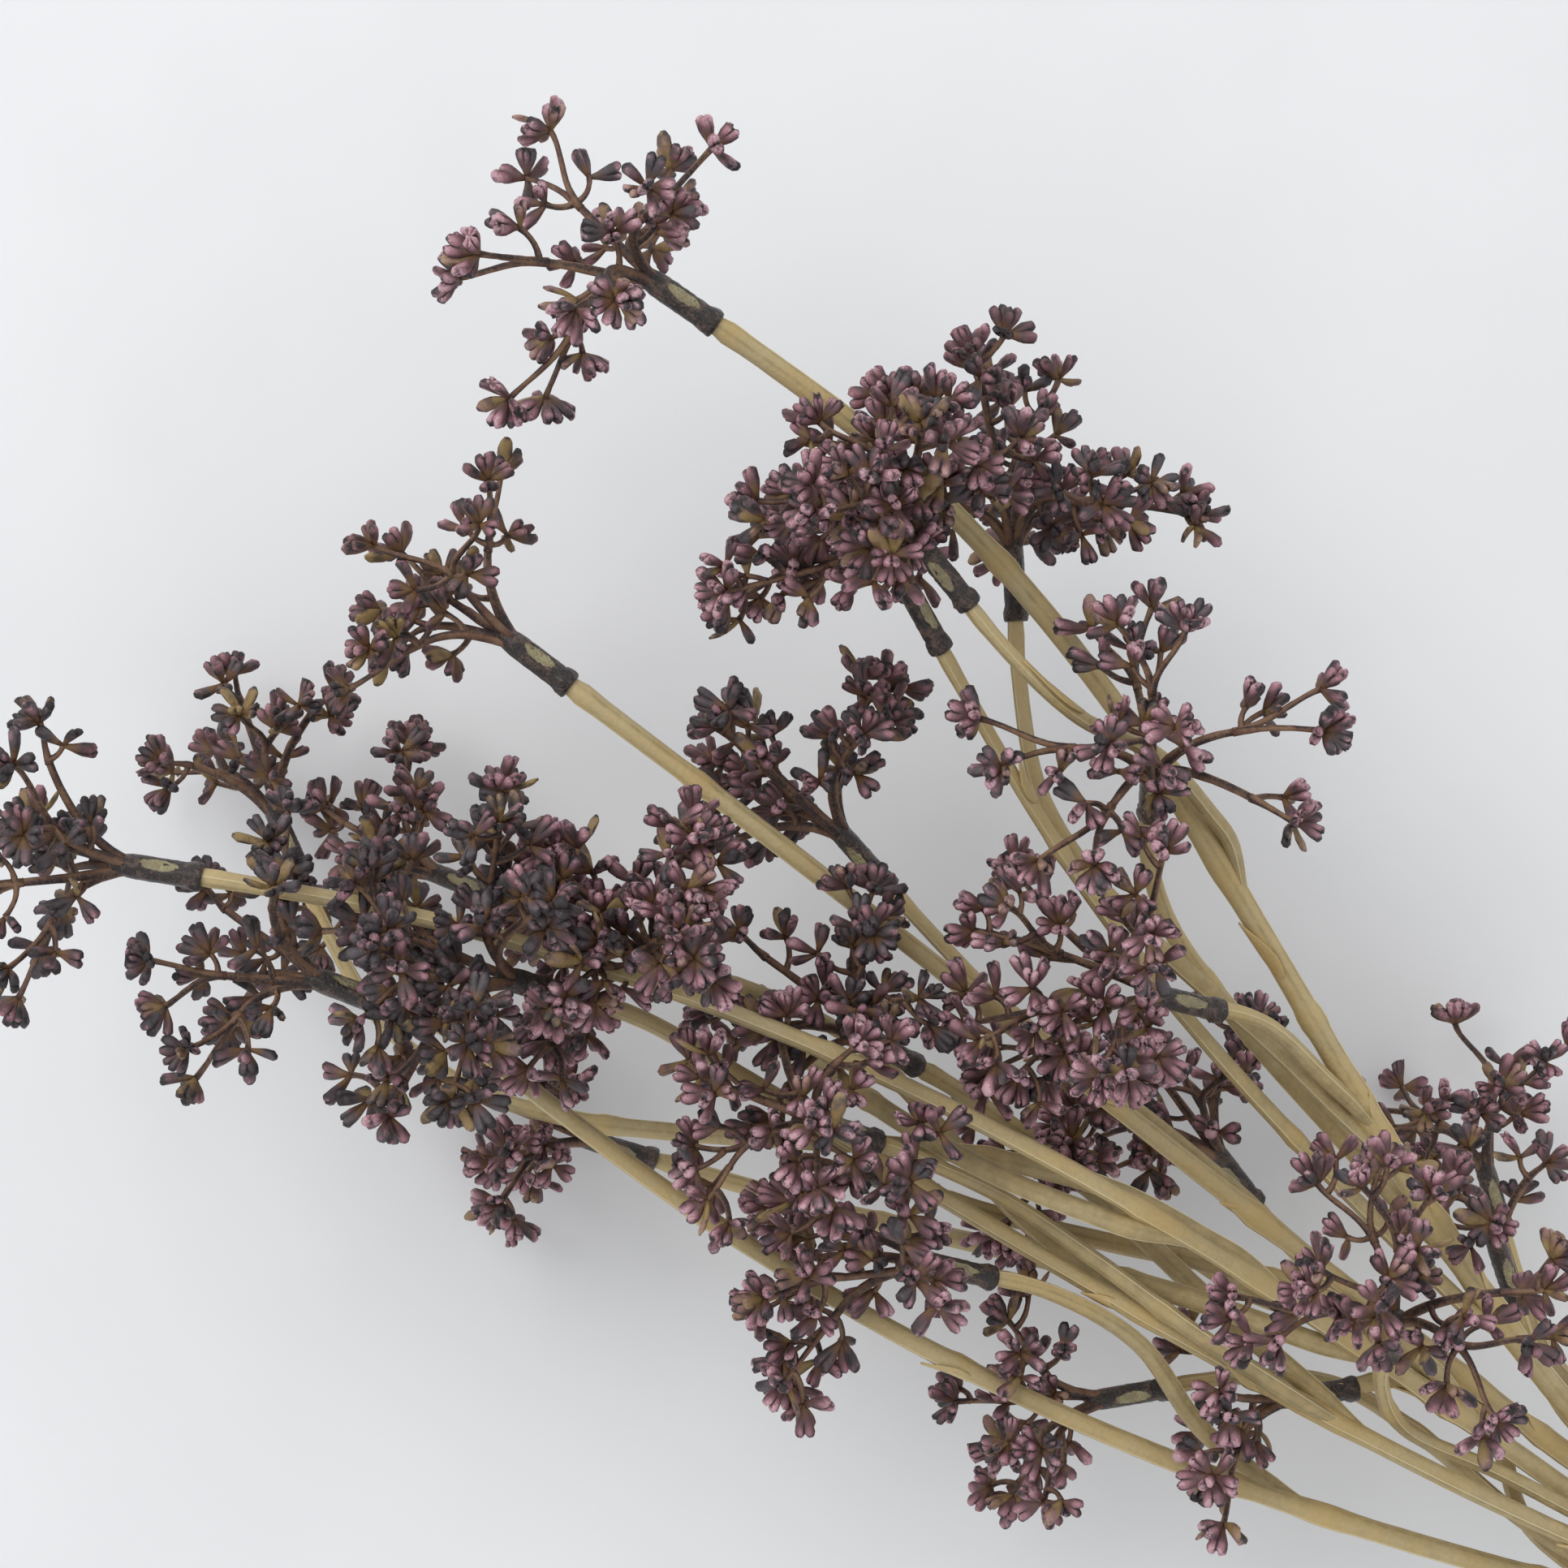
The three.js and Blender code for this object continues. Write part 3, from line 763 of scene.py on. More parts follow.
@dataclass(frozen=True)
class Floret:
    """One moulded floret, along +Z from its foot: a funnel that widens to plump lobes split by creases."""

    length: float = 4.9
    foot: float = 0.36
    half_width: float = 1.7
    half_depth: float = 0.98
    lobes: int = 2
    notch: float = 1.25
    crease: float = 0.5
    crease_half: float = 0.13
    swell: float = 0.8
    bend: float = 0.1
    husk: float = 0.0
    roughness: float = 0.035
    rings: int = 5
    caps: tuple[float, float] = (0.82, 0.42)
    plain_corners: int = 10
    seed: int = 0

    def turns(self, splits: Sequence[float]) -> Array:
        """The angles of its corners, which crowd together at each crease.

        Args:
            splits: where the creases are across its width, from -1 to 1.

        Returns:
            The angles.
        """
        if not splits:
            return corner_turns(self.plain_corners)
        middles = [(2 * k + 1) / self.lobes - 1 for k in range(self.lobes)]
        edges = [split + side * self.crease_half for split in splits for side in (-1, 0, 1)]
        upper = np.arccos(sorted([0.9, -0.9, *middles, *edges], reverse=True))
        return np.concatenate([[0], upper, [math.pi], TAU - upper[::-1]])

    def form(self) -> Form:
        """The floret's form."""
        splits = [2 * k / self.lobes - 1 for k in range(1, self.lobes)]
        turns = self.turns(splits)
        shoulder = self.length - self.notch
        shares = np.array([*np.ones(self.rings), *self.caps])
        levels = shoulder * np.linspace(0, 1, self.rings) ** 0.9
        heights = np.concatenate([levels, np.full(len(self.caps), shoulder)])
        grown = ease(heights / shoulder, 0.0, 1.0) ** self.swell
        widths = self.foot + (self.half_width - self.foot) * grown
        depths = self.foot + (self.half_depth - self.foot) * grown
        u = shares[:, None] * np.cos(turns)
        v = shares[:, None] * np.sin(turns)
        lane = np.cos(turns)[None] * np.ones_like(u) if self.lobes > 2 else u
        split = sum((hump(lane, at, self.crease_half * 0.8) for at in splits), np.zeros_like(u))
        rise = ease(heights / shoulder, 0.35, 1.0)[:, None]
        phase = np.clip((lane + 1) / 2 * self.lobes, 0, self.lobes - 1e-6)
        arch = np.sqrt(np.clip(1 - (2 * (phase - np.floor(phase)) - 1) ** 2, 0, 1))
        is_top = (heights >= shoulder - 1e-6)[:, None]
        z = heights[:, None] + self.notch * arch * np.sqrt(np.clip(1 - v**2, 0, 1)) * is_top
        y = v * depths[:, None] * (1 - self.crease * split * rise)
        rings = np.stack([u * widths[:, None], y, z], axis=-1)
        rings += np.random.default_rng(self.seed).normal(0, self.roughness, rings.shape) * rise[..., None]
        rings[..., 1] += self.bend * self.length * (z / self.length) ** 2
        crown = self.notch * (1.0 if self.lobes % 2 else 0.25)
        middle = np.array([0.0, self.bend * self.length * 0.8, shoulder + crown])
        edge = np.abs(np.cos(turns))[None] ** 5 * (shares[:, None] > 0.9)
        dark = np.clip(split * rise + 0.55 * edge * rise, 0, 1)
        # lobe: high on each lobe's bulge and top; the petal finish puts pink there, and a painted highlight
        # in lilac where it is highest.
        lobe = np.clip(arch * rise * (0.55 + 0.45 * is_top) * (1 - 0.5 * edge), 0, 1)
        husk = np.full_like(z, self.husk)
        return skin(rings, end=middle, along=z / self.length, crease=dark, lobe=lobe, husk=husk)


@dataclass
class FlowerKit:
    """The seven kinds of floret that the clusters are put together from, and how often each is used."""

    florets: tuple[Floret, ...] = (
        Floret(seed=1),
        Floret(length=5.3, half_width=1.55, half_depth=0.9, notch=1.15, bend=0.14, seed=2),
        Floret(length=4.5, half_width=1.85, notch=1.4, bend=0.05, seed=3),
        Floret(half_width=1.9, half_depth=0.85, lobes=3, notch=1.0, bend=0.12, seed=4),
        Floret(length=5.2, half_width=1.05, half_depth=0.9, lobes=1, notch=1.4, crease=0, bend=0.14, seed=5),
        Floret(length=5.8, half_width=1.25, half_depth=0.5, lobes=1, notch=2.0, crease=0, swell=0.6,
               bend=0.24, husk=0.6, seed=6),
        Floret(length=4.7, half_width=1.65, half_depth=0.8, notch=1.1, crease=0.75, bend=0.16,
               husk=0.45, seed=7),
    )
    odds: tuple[float, ...] = (0.27, 0.2, 0.22, 0.05, 0.13, 0.06, 0.07)

    def __post_init__(self) -> None:
        """Makes each floret's form."""
        self.kinds = [floret.form() for floret in self.florets]


@dataclass
class Umbel:
    """One umbel: a sleeve, the rays that leave it, and a cluster of florets on every ray's end."""

    key: str
    line: Array
    radius: float
    kit: FlowerKit
    palette: Palette
    others: Array
    sleeve_length: float = 14.0
    tip_gap: float = 0.3
    bore_room: float = 0.1
    bore_levels: int = 5
    sleeve_wall: float = 0.36
    rim_proud: float = 0.3
    rim_length: float = 2.6
    shoulder_length: float = 3.2
    neck_radius: float = 1.6
    window: tuple[float, float] = (3.0, 1.15)
    window_depth: float = 0.28
    sleeve_corners: int = 32
    ray_radius: float = 0.95
    twig_radius: float = 0.62
    twig_end: float = 0.42
    ray_corners: int = 8
    ray_points: int = 12
    ray_root: tuple[float, float] = (2.2, 0.6)
    ray_knee: tuple[float, float] = (0.26, 0.14)
    fork_share: float = 0.5
    lone_share: float = 0.72
    fork_lift: float = 0.08
    node_back: float = 2.2
    pair_angle: float = 50.0
    floret_count: tuple[int, int] = (5, 7)
    side_count: tuple[int, int] = (3, 5)
    side_length: tuple[float, float] = (3.0, 6.5)
    floret_size: tuple[float, float] = (0.84, 1.1)
    first_lean: tuple[float, float] = (5.0, 25.0)
    outer_lean: tuple[float, float] = (42.0, 88.0)
    head_room: float = 4.4
    rod_room: float = 4.6
    tip_room: float = 2.4
    tip_floor: float = 0.9
    spray_spread: tuple[float, float, float] = (0.16, 0.24, 0.16)

    def __post_init__(self) -> None:
        """Works out the sleeve's place from the rod's tip, reads the clusters and lays out the rays."""
        self.random = seeded("umbel " + self.key)
        self.node = "umbel_" + self.key
        self.axis = unit(self.line[-1] - self.line[-2])
        self.hub = self.line[-1] + self.axis * (self.sleeve_length - GRIP + self.tip_gap)
        self.rim = self.hub - self.axis * self.sleeve_length
        self.bore = self.radius * TIP_TAPER + self.bore_room
        self.body = self.bore + self.sleeve_wall
        self.centres, self.facings = FrameReader.clusters(self.node)
        self.tone = TONES.get(self.key, Tone.MAUVE)
        self.twigs: list[tuple[Array, float, float, float]] = []
        self.heads: list[tuple[Array, Array, tuple[int, int]]] = []
        self.lay_out()

    def build(self) -> bpy.types.Object:
        """Builds the umbel's piece."""
        piece = Piece(self.node)
        piece.add(self.sleeve(), self.palette.sleeve)
        for twig in self.twigs:
            piece.add(self.twig(*twig), self.palette.ray)
        for form in self.florets():
            piece.add(form, self.palette.petal)
        return piece.build("umbel")

    def profile(self) -> tuple[Array, Array]:
        """The sleeve's outline, from the bore's blind end round the rim to the rays.

        Returns:
            The heights over the rim, and the radii.
        """
        bore, body, rim = self.bore, self.body, self.body + self.rim_proud
        bead, shoulder = self.rim_length, self.sleeve_length - self.shoulder_length
        heights = [
            (GRIP, bore * 0.5), (GRIP, bore), (GRIP * 0.5, bore), (0.3, bore), (0.0, bore + 0.12),
            (0.0, rim - 0.3), (0.25, rim - 0.04), (bead * 0.35, rim), (bead * 0.6, rim),
            (bead * 0.85, rim - 0.16), (bead, body),
        ]
        heights += [(height, body) for height in np.linspace(bead + 0.4, shoulder, 16)]
        for share in (0.2, 0.4, 0.6, 0.8, 1.0):
            narrowed = body + (self.neck_radius - body) * ease(share, 0, 1)
            heights.append((shoulder + share * self.shoulder_length, float(narrowed)))
        heights.append((self.sleeve_length + 0.6, self.neck_radius * 0.72))
        heights.append((self.sleeve_length + 0.95, self.neck_radius * 0.3))
        along, radii = np.array(heights).T
        return along, radii

    def sleeve(self) -> Form:
        """The sleeve, turned round its axis, with its blind bore and two slot windows."""
        along, radii = self.profile()
        turns = corner_turns(self.sleeve_corners)
        radii = radii[:, None] * np.ones(self.sleeve_corners)
        outside = (np.arange(len(along)) >= self.bore_levels)[:, None]
        first = self.random.normal(0, 0.55)
        middle = (self.rim_length + self.sleeve_length - self.shoulder_length) / 2 + 0.3
        mask = np.zeros_like(radii)
        for turn in (first, first + math.pi):
            swing = np.angle(np.exp(1j * (turns - turn)))[None] / (self.window[1] / self.body)
            reach = np.sqrt(swing**2 + ((along[:, None] - middle) / self.window[0]) ** 2)
            mask = np.maximum(mask, 1.5 - reach)
        above = outside & (along > self.rim_length)[:, None]
        mask = np.clip(mask + self.random.normal(0, 0.07, mask.shape), 0, 1) * above
        rough = self.random.normal(0, 1, radii.shape) * outside
        in_rim = outside * hump(along, self.rim_length / 2, 1.3)[:, None]
        ribs = 0.06 * np.cos(3 * turns + first)[None] * outside
        radii = radii + rough * (0.03 + 0.06 * in_rim) + ribs - self.window_depth * ease(mask, 0.4, 0.6)
        side = square_to(self.axis)
        ways = spokes(turns, side, np.cross(self.axis, side))
        rings = self.rim + along[:, None, None] * self.axis + radii[..., None] * ways
        return skin(rings, end=self.rim + (self.sleeve_length + 1.0) * self.axis, window=mask)

    def groups(self) -> list[list[int]]:
        """The clusters that share a ray: the nearest in direction, two by two."""
        ways = unit(self.centres - self.hub)
        near = ways @ ways.T
        pairs = [(near[i, j], i, j) for i in range(len(ways)) for j in range(i)]
        left, found = set(range(len(ways))), []
        for likeness, i, j in sorted(pairs, reverse=True):
            if likeness > math.cos(math.radians(self.pair_angle)) and {i, j} <= left:
                left -= {i, j}
                found.append([i, j])
        return found + [[i] for i in sorted(left)]

    def lay_out(self) -> None:
        """Lays out each group's ray, its fork, a twig to each cluster, and side twigs with small clusters."""
        nodes = self.centres - self.facings * self.node_back
        for node, facing in zip(nodes, self.facings):
            self.heads.append((node, facing, self.floret_count))
        for group in self.groups():
            way = nodes[group].mean(axis=0) - self.hub
            out = unit(way - self.axis * (way @ self.axis) + 1e-6)
            reach = float(np.linalg.norm(way))
            root = self.hub - self.axis * self.ray_root[0] + out * self.ray_root[1]
            knee = self.hub + self.axis * self.ray_knee[0] * reach + out * self.ray_knee[1] * reach
            share = self.fork_share if len(group) > 1 else self.lone_share
            fork = self.hub + way * share + self.axis * self.fork_lift * reach
            trunk = bezier([root, knee, fork], self.ray_points)
            heading = unit(trunk[-1] - trunk[-2])
            self.twigs.append((trunk, self.ray_radius, self.twig_radius, 0.0))
            self.side_twigs(trunk, 0.5)
            for node, facing in zip(nodes[group], self.facings[group]):
                gap = float(gaps(node, fork))
                bend = fork + heading * 0.35 * gap
                path = [fork - heading * 0.6, bend, node - facing * 0.3 * gap, node]
                twig = bezier(path, self.ray_points)
                self.twigs.append((twig, self.twig_radius, self.twig_end, 1.0))
                self.side_twigs(twig, 0.15)

    def side_twigs(self, path: Array, first: float) -> None:
        """Adds short side twigs with small clusters, where there is room for them.

        Args:
            path: the ray or twig that they leave.
            first: the share of the path before which none starts.
        """
        for share in np.linspace(first, 0.85, FULLNESS.get(self.key, USUAL_FULLNESS)):
            i = min(int(share * (len(path) - 1)), len(path) - 2)
            heading = unit(path[i + 1] - path[i])
            side = square_to(heading)
            out = spokes(self.random.uniform(0, TAU), side, np.cross(heading, side))
            way = unit(out * 0.9 + heading * 0.5)
            node = path[i] + way * self.random.uniform(*self.side_length)
            facing = unit(way + heading * 0.5 + UP * 0.25)
            if self.has_room(node, facing):
                bend = path[i] + out * 0.5 * float(gaps(node, path[i]))
                twig = bezier([path[i], bend, node], 7)
                self.twigs.append((twig, self.twig_radius * 0.9, self.twig_end, 1.0))
                self.heads.append((node, facing, self.side_count))

    def has_room(self, node: Array, facing: Array) -> bool:
        """Whether a small cluster has room.

        Args:
            node: where its florets meet.
            facing: the direction that it faces.

        Returns:
            Whether it is clear of the table, the sleeve, the rods and the other clusters.
        """
        middle = node + facing * self.node_back
        along = min((middle - self.rim) @ self.axis, self.sleeve_length)
        heads = np.array([head + way * self.node_back for head, way, _ in self.heads])
        return (
            node[2] > self.rod_room
            and float(gaps(middle, self.rim + self.axis * along)) > self.rod_room + 1.0
            and bool((gaps(heads, middle) > self.head_room).all())
            and bool((gaps(self.others, middle) > self.rod_room).all())
        )

    def twig(self, path: Array, first: float, last: float, swollen: float) -> Form:
        """A tapered round twig.

        Args:
            path: its centre line.
            first: its radius at the start.
            last: its radius at the end.
            swollen: 1 for a twig with swollen ends, or 0 for a ray without.

        Returns:
            The twig's form.
        """
        share = np.linspace(0, 1, len(path))
        turns = corner_turns(self.ray_corners)
        size = first + (last - first) * share**0.7
        size = size * (1 + swollen * (0.3 * hump(share, 1.0, 0.12) + 0.2 * hump(share, 0.05, 0.15)))
        # ridge: highest on two opposite sides; the ray finish paints shade in charcoal where it is low.
        ridge = np.cos(turns + self.random.uniform(0, TAU))[None] ** 2 * np.ones((len(path), 1))
        radii = size[:, None] * (1 + 0.12 * (ridge - 0.5)) * (1 + self.random.normal(0, 0.035, ridge.shape))
        return swept(path, radii, turns, ridge=ridge)

    def florets(self) -> Iterable[Form]:
        """Every cluster's florets, kind by kind."""
        kinds = self.kit.kinds
        chosen: list[list[tuple[Array, Array, Array]]] = [[] for _ in kinds]
        for node, facing, counts in self.heads:
            mood = self.random.normal(0, 0.1, 3)
            for way, face in self.cluster_ways(facing, counts):
                kind = int(self.random.choice(len(kinds), p=self.kit.odds))
                size = self.random.uniform(*self.floret_size)
                spray = np.array(self.tone.value) + mood + self.random.normal(0, self.spray_spread)
                reach = size * float(kinds[kind].points[:, 2].max())
                lowest = (self.tip_floor - node[2]) / reach
                if way[2] < lowest:
                    way = unit(np.array([way[0], way[1], min(lowest, 0.9)]))
                if (gaps(self.others, node + way * reach * 0.8) < self.tip_room).any():
                    continue
                across = unit(np.cross(face, way))
                turn = np.stack([across, np.cross(way, across), way], axis=1) * size
                chosen[kind].append((turn, node + way * 0.25, np.clip(spray, 0, 1)))
        for form, copies in zip(kinds, chosen):
            if copies:
                turns, places, sprays = (np.array(values) for values in zip(*copies))
                yield form.copies(turns, places, blush=sprays[:, 0], soot=sprays[:, 1], rust=sprays[:, 2])

    def cluster_ways(self, facing: Array, counts: tuple[int, int]) -> Iterable[tuple[Array, Array]]:
        """The florets of a cluster: one up the middle and the others round it.

        Args:
            facing: the direction that the cluster faces.
            counts: the least and the greatest number of florets.

        Returns:
            The direction of each floret, and where its broad side faces.
        """
        side = square_to(facing)
        across = np.cross(facing, side)
        count = int(self.random.integers(counts[0], counts[1] + 1))
        start = self.random.uniform(0, TAU)
        for i in range(count):
            lean = math.radians(self.random.uniform(*(self.outer_lean if i else self.first_lean)))
            out = spokes(start + TAU * i / max(count - 1, 1) + self.random.normal(0, 0.18), side, across)
            way = unit(facing * math.cos(lean) + out * math.sin(lean))
            face = facing if i else out
            face = unit(face - way * (face @ way) + self.random.normal(0, 0.35, 3))
            yield way, unit(face - way * (face @ way))


# ---- stems


# For some rods, a long flap: how far its foot is below the tip, its length, and its turn from the top.
SHEATHS = {
    "a": (150.0, 12.0, -1.2), "a1": (38.0, 9.0, 1.3), "a2": (34.0, 14.0, 1.5), "b": (120.0, 10.0, 1.0),
    "d": (140.0, 11.0, 0.3), "e": (120.0, 9.0, -1.3),
}


@dataclass
class Rod:
    """A stem or branch: ridged and knotted, in plastic moulded along its length."""

    key: str
    line: Array
    radius: float
    palette: Palette
    forks: Array = field(default_factory=lambda: np.zeros((0, 3)))
    is_stem: bool = True
    step: float = 1.8
    ridge_half: float = 0.1
    flatness: float = 0.09
    ridge_height: float = 0.1
    groove_depth: float = 0.04
    roughness: float = 0.006
    knot_swell: float = 0.2
    knot_length: float = 4.5
    knot_back: float = 6.0
    tip_flare: float = 0.12
    root_length: float = 17.0
    root_taper: float = 0.5
    bract_length: float = 6.0
    bract_width: float = 1.15
    bract_share: float = 0.6
    flap_wall: float = 0.2
    flap_lift: tuple[float, float] = (0.03, 0.13)
    flap_corners: int = 12
    sheath_width: float = 2.0
    joint_gap: tuple[float, float] = (38.0, 70.0)
    joint_length: float = 1.9
    joint_swell: float = 0.2

    def __post_init__(self) -> None:
        """Draws the smooth centre line."""
        self.node = ("stem_" if self.is_stem else "branch_") + self.key
        self.random = seeded(self.node)
        self.path = through(self.line, self.step)

    def build(self, mother: Array | None = None) -> bpy.types.Object:
        """Builds the rod's piece.

        Args:
            mother: the centre line of the stem that it leaves, if it is a branch.

        Returns:
            The piece's object.
        """
        piece = Piece(self.node)
        if mother is not None:
            self.path = self.rooted(mother)
        piece.add(self.rod(), self.palette.stem)
        if mother is not None and self.random.uniform() < self.bract_share:
            piece.add(self.root_bract(mother), self.palette.stem)
        if self.key in SHEATHS:
            piece.add(self.sheath(*SHEATHS[self.key]), self.palette.stem)
        return piece.build("stem")

    def rooted(self, mother: Array) -> Array:
        """Adds a root to the centre line, which leaves the mother stem at a small angle.

        Args:
            mother: the mother stem's centre line.

        Returns:
            The centre line with its root.
        """
        start, heading = self.path[0], unit(self.path[1] - self.path[0])
        back = max(nearest(mother, start) - int(self.root_length / self.step), 0)
        third = float(gaps(start, mother[back])) / 3
        along = unit(mother[back + 1] - mother[back])
        root = bezier([mother[back], mother[back] + along * third, start - heading * third, start], 12)
        return evenly(np.vstack([root[:-1], self.path]), self.step)

    def turns(self) -> Array:
        """The angles of the rod's corners, which crowd together at its two mould ridges."""
        rising = [self.ridge_half, 0.3, 0.8, 1.3]
        half = [0, *rising, *(math.pi - turn for turn in reversed(rising))]
        return np.array(half + [turn + math.pi for turn in half])

    def joints(self, walked: Array) -> Array:
        """How much of a joint each point of the centre line has, 0 to 1.

        Args:
            walked: how far along each point is.

        Returns:
            The shares, one a point.
        """
        joints, at = np.zeros(len(walked)), self.random.uniform(*self.joint_gap)
        while at < walked[-1] - 3 * GRIP:
            joints = np.maximum(joints, hump(walked, at, self.joint_length))
            at += self.random.uniform(*self.joint_gap)
        return joints

    def rod(self) -> Form:
        """The rod itself."""
        walked = walk(self.path)
        twist = self.random.uniform(0, TAU) + walked * self.random.uniform(-0.004, 0.004)
        knot = np.zeros(len(walked))
        for fork in self.forks:
            middle = walked[nearest(self.path, fork)] - self.knot_back
            knot = np.maximum(knot, hump(walked, middle, self.knot_length))
        joints = self.joints(walked)
        mouth = walked[-1] - GRIP
        flare = hump(walked, mouth - 2.2, 2.0)
        bare = 1 - ease(walked, mouth - 0.6, mouth + 0.4)
        size = self.radius * (1 - (1 - TIP_TAPER) * ease(walked / walked[-1], 0.3, 0.95))
        size *= 1 + (self.knot_swell * knot + self.tip_flare * flare + self.joint_swell * joints) * bare
        size *= 1 + 0.02 * np.sin(walked / 7.0 + self.random.uniform(0, TAU)) * bare
        if not self.is_stem:
            size *= 1 - self.root_taper * (1 - ease(walked, 0, 0.9 * self.root_length))
        angle = np.ones((len(walked), 1)) * self.turns()[None]
        # The mould ridges, which stand proud; the stem finish paints a highlight in straw on them.
        ridge = hump(np.sin(angle), 0, self.ridge_half * 0.6)
        # The grooves are real shallow dents; the stem finish also paints shade in olive into them.
        groove = np.clip(np.cos(5 * angle + 0.6), 0, 1) * (1 - ridge)
        relief = self.flatness * np.cos(2 * angle) + self.ridge_height * ridge - self.groove_depth * groove
        factor = 1 + bare[:, None] * relief
        factor += self.random.normal(0, self.roughness, factor.shape) * bare[:, None]
        sides, across = sides_along(self.path)
        ways = spokes(angle + twist[:, None], sides[:, None], across[:, None])
        rings = self.path[:, None] + (size[:, None] * factor)[..., None] * ways
        lump = np.clip(knot + 0.5 * flare + 0.8 * joints, 0, 1)[:, None]
        # Painted shade for the stem finish: 1 at the root, fading to 0 towards the tip, darkening the stems
        # deep in the bundle.
        deep = (1 - ease(walked / walked[-1], 0.3, 0.85))[:, None]
        return skin(rings, ridge=ridge, groove=groove, knot=lump, deep=deep)

    def root_bract(self, mother: Array) -> Form:
        """The small flap at the branch's root, on the side away from the branch.

        Args:
            mother: the mother stem's centre line.

        Returns:
            The flap's form.
        """
        near = nearest(mother, self.line[0])
        heading = unit(mother[min(near + 1, len(mother) - 1)] - mother[max(near - 1, 0)])
        away = mother[near] - self.line[0]
        away = unit(away - heading * (away @ heading))
        away = unit(away + self.random.normal(0, 0.5) * np.cross(heading, away))
        length = self.bract_length * self.random.uniform(0.75, 1.2)
        foot = mother[near] + away * (self.radius * 0.9) - heading * 3.0
        return self.flap(foot, heading, away, length, self.bract_width)

    def sheath(self, below: float, length: float, turn: float) -> Form:
        """A long flap part way up the rod.

        Args:
            below: how far below the rod's tip its foot is.
            length: its length.
            turn: which side of the rod it is on, as an angle from the upper side.

        Returns:
            The flap's form.
        """
        walked = walk(self.path)
        at = int(np.argmin(np.abs(walked - (walked[-1] - below))))
        heading = unit(self.path[at + 1] - self.path[at - 1])
        side = square_to(heading)
        away = spokes(turn, side, np.cross(heading, side))
        foot = self.path[at] + away * (self.radius * 0.75)
        return self.flap(foot, heading, away, length, self.sheath_width)

    def flap(self, foot: Array, heading: Array, away: Array, length: float, widest: float) -> Form:
        """A papery flap of plastic that leans away from a rod.

        Args:
            foot: where it starts.
            heading: the direction that it follows.
            away: the direction that it leans in.
            length: its length.
            widest: half its greatest width.

        Returns:
            The flap's form.
        """
        lift = self.random.uniform(*self.flap_lift)
        tip = foot + heading * length + away * (0.6 + lift * length)
        path = bezier([foot, foot + heading * length * 0.5 + away * 0.4, tip], 12)
        share = np.linspace(0, 1, len(path))
        width = widest * (0.35 + 0.9 * np.sin(np.pi * share**0.75)) * (1 - 0.75 * share**3)
        turns = corner_turns(self.flap_corners)
        sides, normals = sides_along(path, np.cross(heading, away))
        flat = (np.cos(turns)[None] * width[:, None])[..., None] * sides[:, None]
        cup = 0.35 * np.cos(turns)[None] ** 2 * width[:, None] + self.flap_wall * np.sin(turns)[None]
        rings = path[:, None] + flat + cup[..., None] * normals[:, None]
        return skin(rings, ridge=0.2, groove=0.15, knot=1.0)


# ---- band


@dataclass
class TwineBand:
    """Jute twine wound round the stems, with a knot and two short ends."""

    palette: Palette
    strand_radius: float = 0.62
    ply_radius: float = 0.5
    turns: int = 6
    turn_points: int = 40
    plies: int = 2
    lay_length: float = 5.0
    corners: int = 8
    tail_length: float = 13.0
    knot_turns: float = 1.6
    knot_size: tuple[float, float, float] = (1.9, 1.1, 2.1)
    knot_lift: float = 1.2

    def build(self, stems: Sequence[Array]) -> bpy.types.Object:
        """Builds the band round the stems.

        Args:
            stems: the stems' centre lines.

        Returns:
            The piece's object.
        """
        points, _ = FrameReader.corners("band")
        middle = points.mean(axis=0)
        near = [nearest(stem, middle) for stem in stems]
        ahead = np.mean([stem[i] for stem, i in zip(stems, near)], axis=0)
        axis = unit(ahead - np.mean([stem[max(i - 4, 0)] for stem, i in zip(stems, near)], axis=0))
        off = points - middle
        along = off @ axis
        inner = float(gaps(off, along[:, None] * axis).min())
        side = square_to(axis)
        across = np.cross(axis, side)
        reach = inner + self.strand_radius + self.ply_radius * 0.4
        span = float(np.ptp(along)) - 2 * (self.strand_radius + self.ply_radius)
        share = np.linspace(0, 1, self.turns * self.turn_points)
        spiral = middle + (share[:, None] - 0.5) * span * axis
        top = middle + side * (reach + self.knot_lift)
        turn = np.linspace(0, TAU * self.knot_turns, 60)[:, None]
        long, high, wide = self.knot_size
        piece = Piece("band")
        self.wind(piece, spiral + reach * spokes(TAU * self.turns * share, side, across))
        knot = top + long * np.cos(turn) * axis + high * np.sin(turn * 2) * side
        self.wind(piece, knot + wide * np.sin(turn) * across)
        for way in (1, -1):
            start = top + across * 1.2 * way
            bend = start + across * way * self.tail_length * 0.5 + side * 2.0
            end = start + across * way * self.tail_length * 0.8 - side * 5.0 + axis * 3.0 * way
            self.wind(piece, bezier([start, bend, end], 24))
        return piece.build("band")

    def wind(self, piece: Piece, path: Array) -> None:
        """Lays twisted plies along a path.

        Args:
            piece: the piece that they are added to.
            path: the path.
        """
        path = evenly(path, 0.8)
        sides, across = sides_along(path)
        walked = walk(path)
        turns = corner_turns(self.corners)
        for ply in range(self.plies):
            angle = TAU * (walked / self.lay_length + ply / self.plies)
            line = path + self.ply_radius * spokes(angle, sides, across)
            # fibre: high on the strands' crowns; the twine finish paints shade where it is low.
            fibre = 0.5 + 0.5 * np.cos(3 * turns[None] + walked[:, None] * 2.2)
            radii = self.strand_radius * (1 + 0.06 * fibre)
            piece.add(swept(line, radii, turns, fibre=fibre), self.palette.twine)


# ---- studio


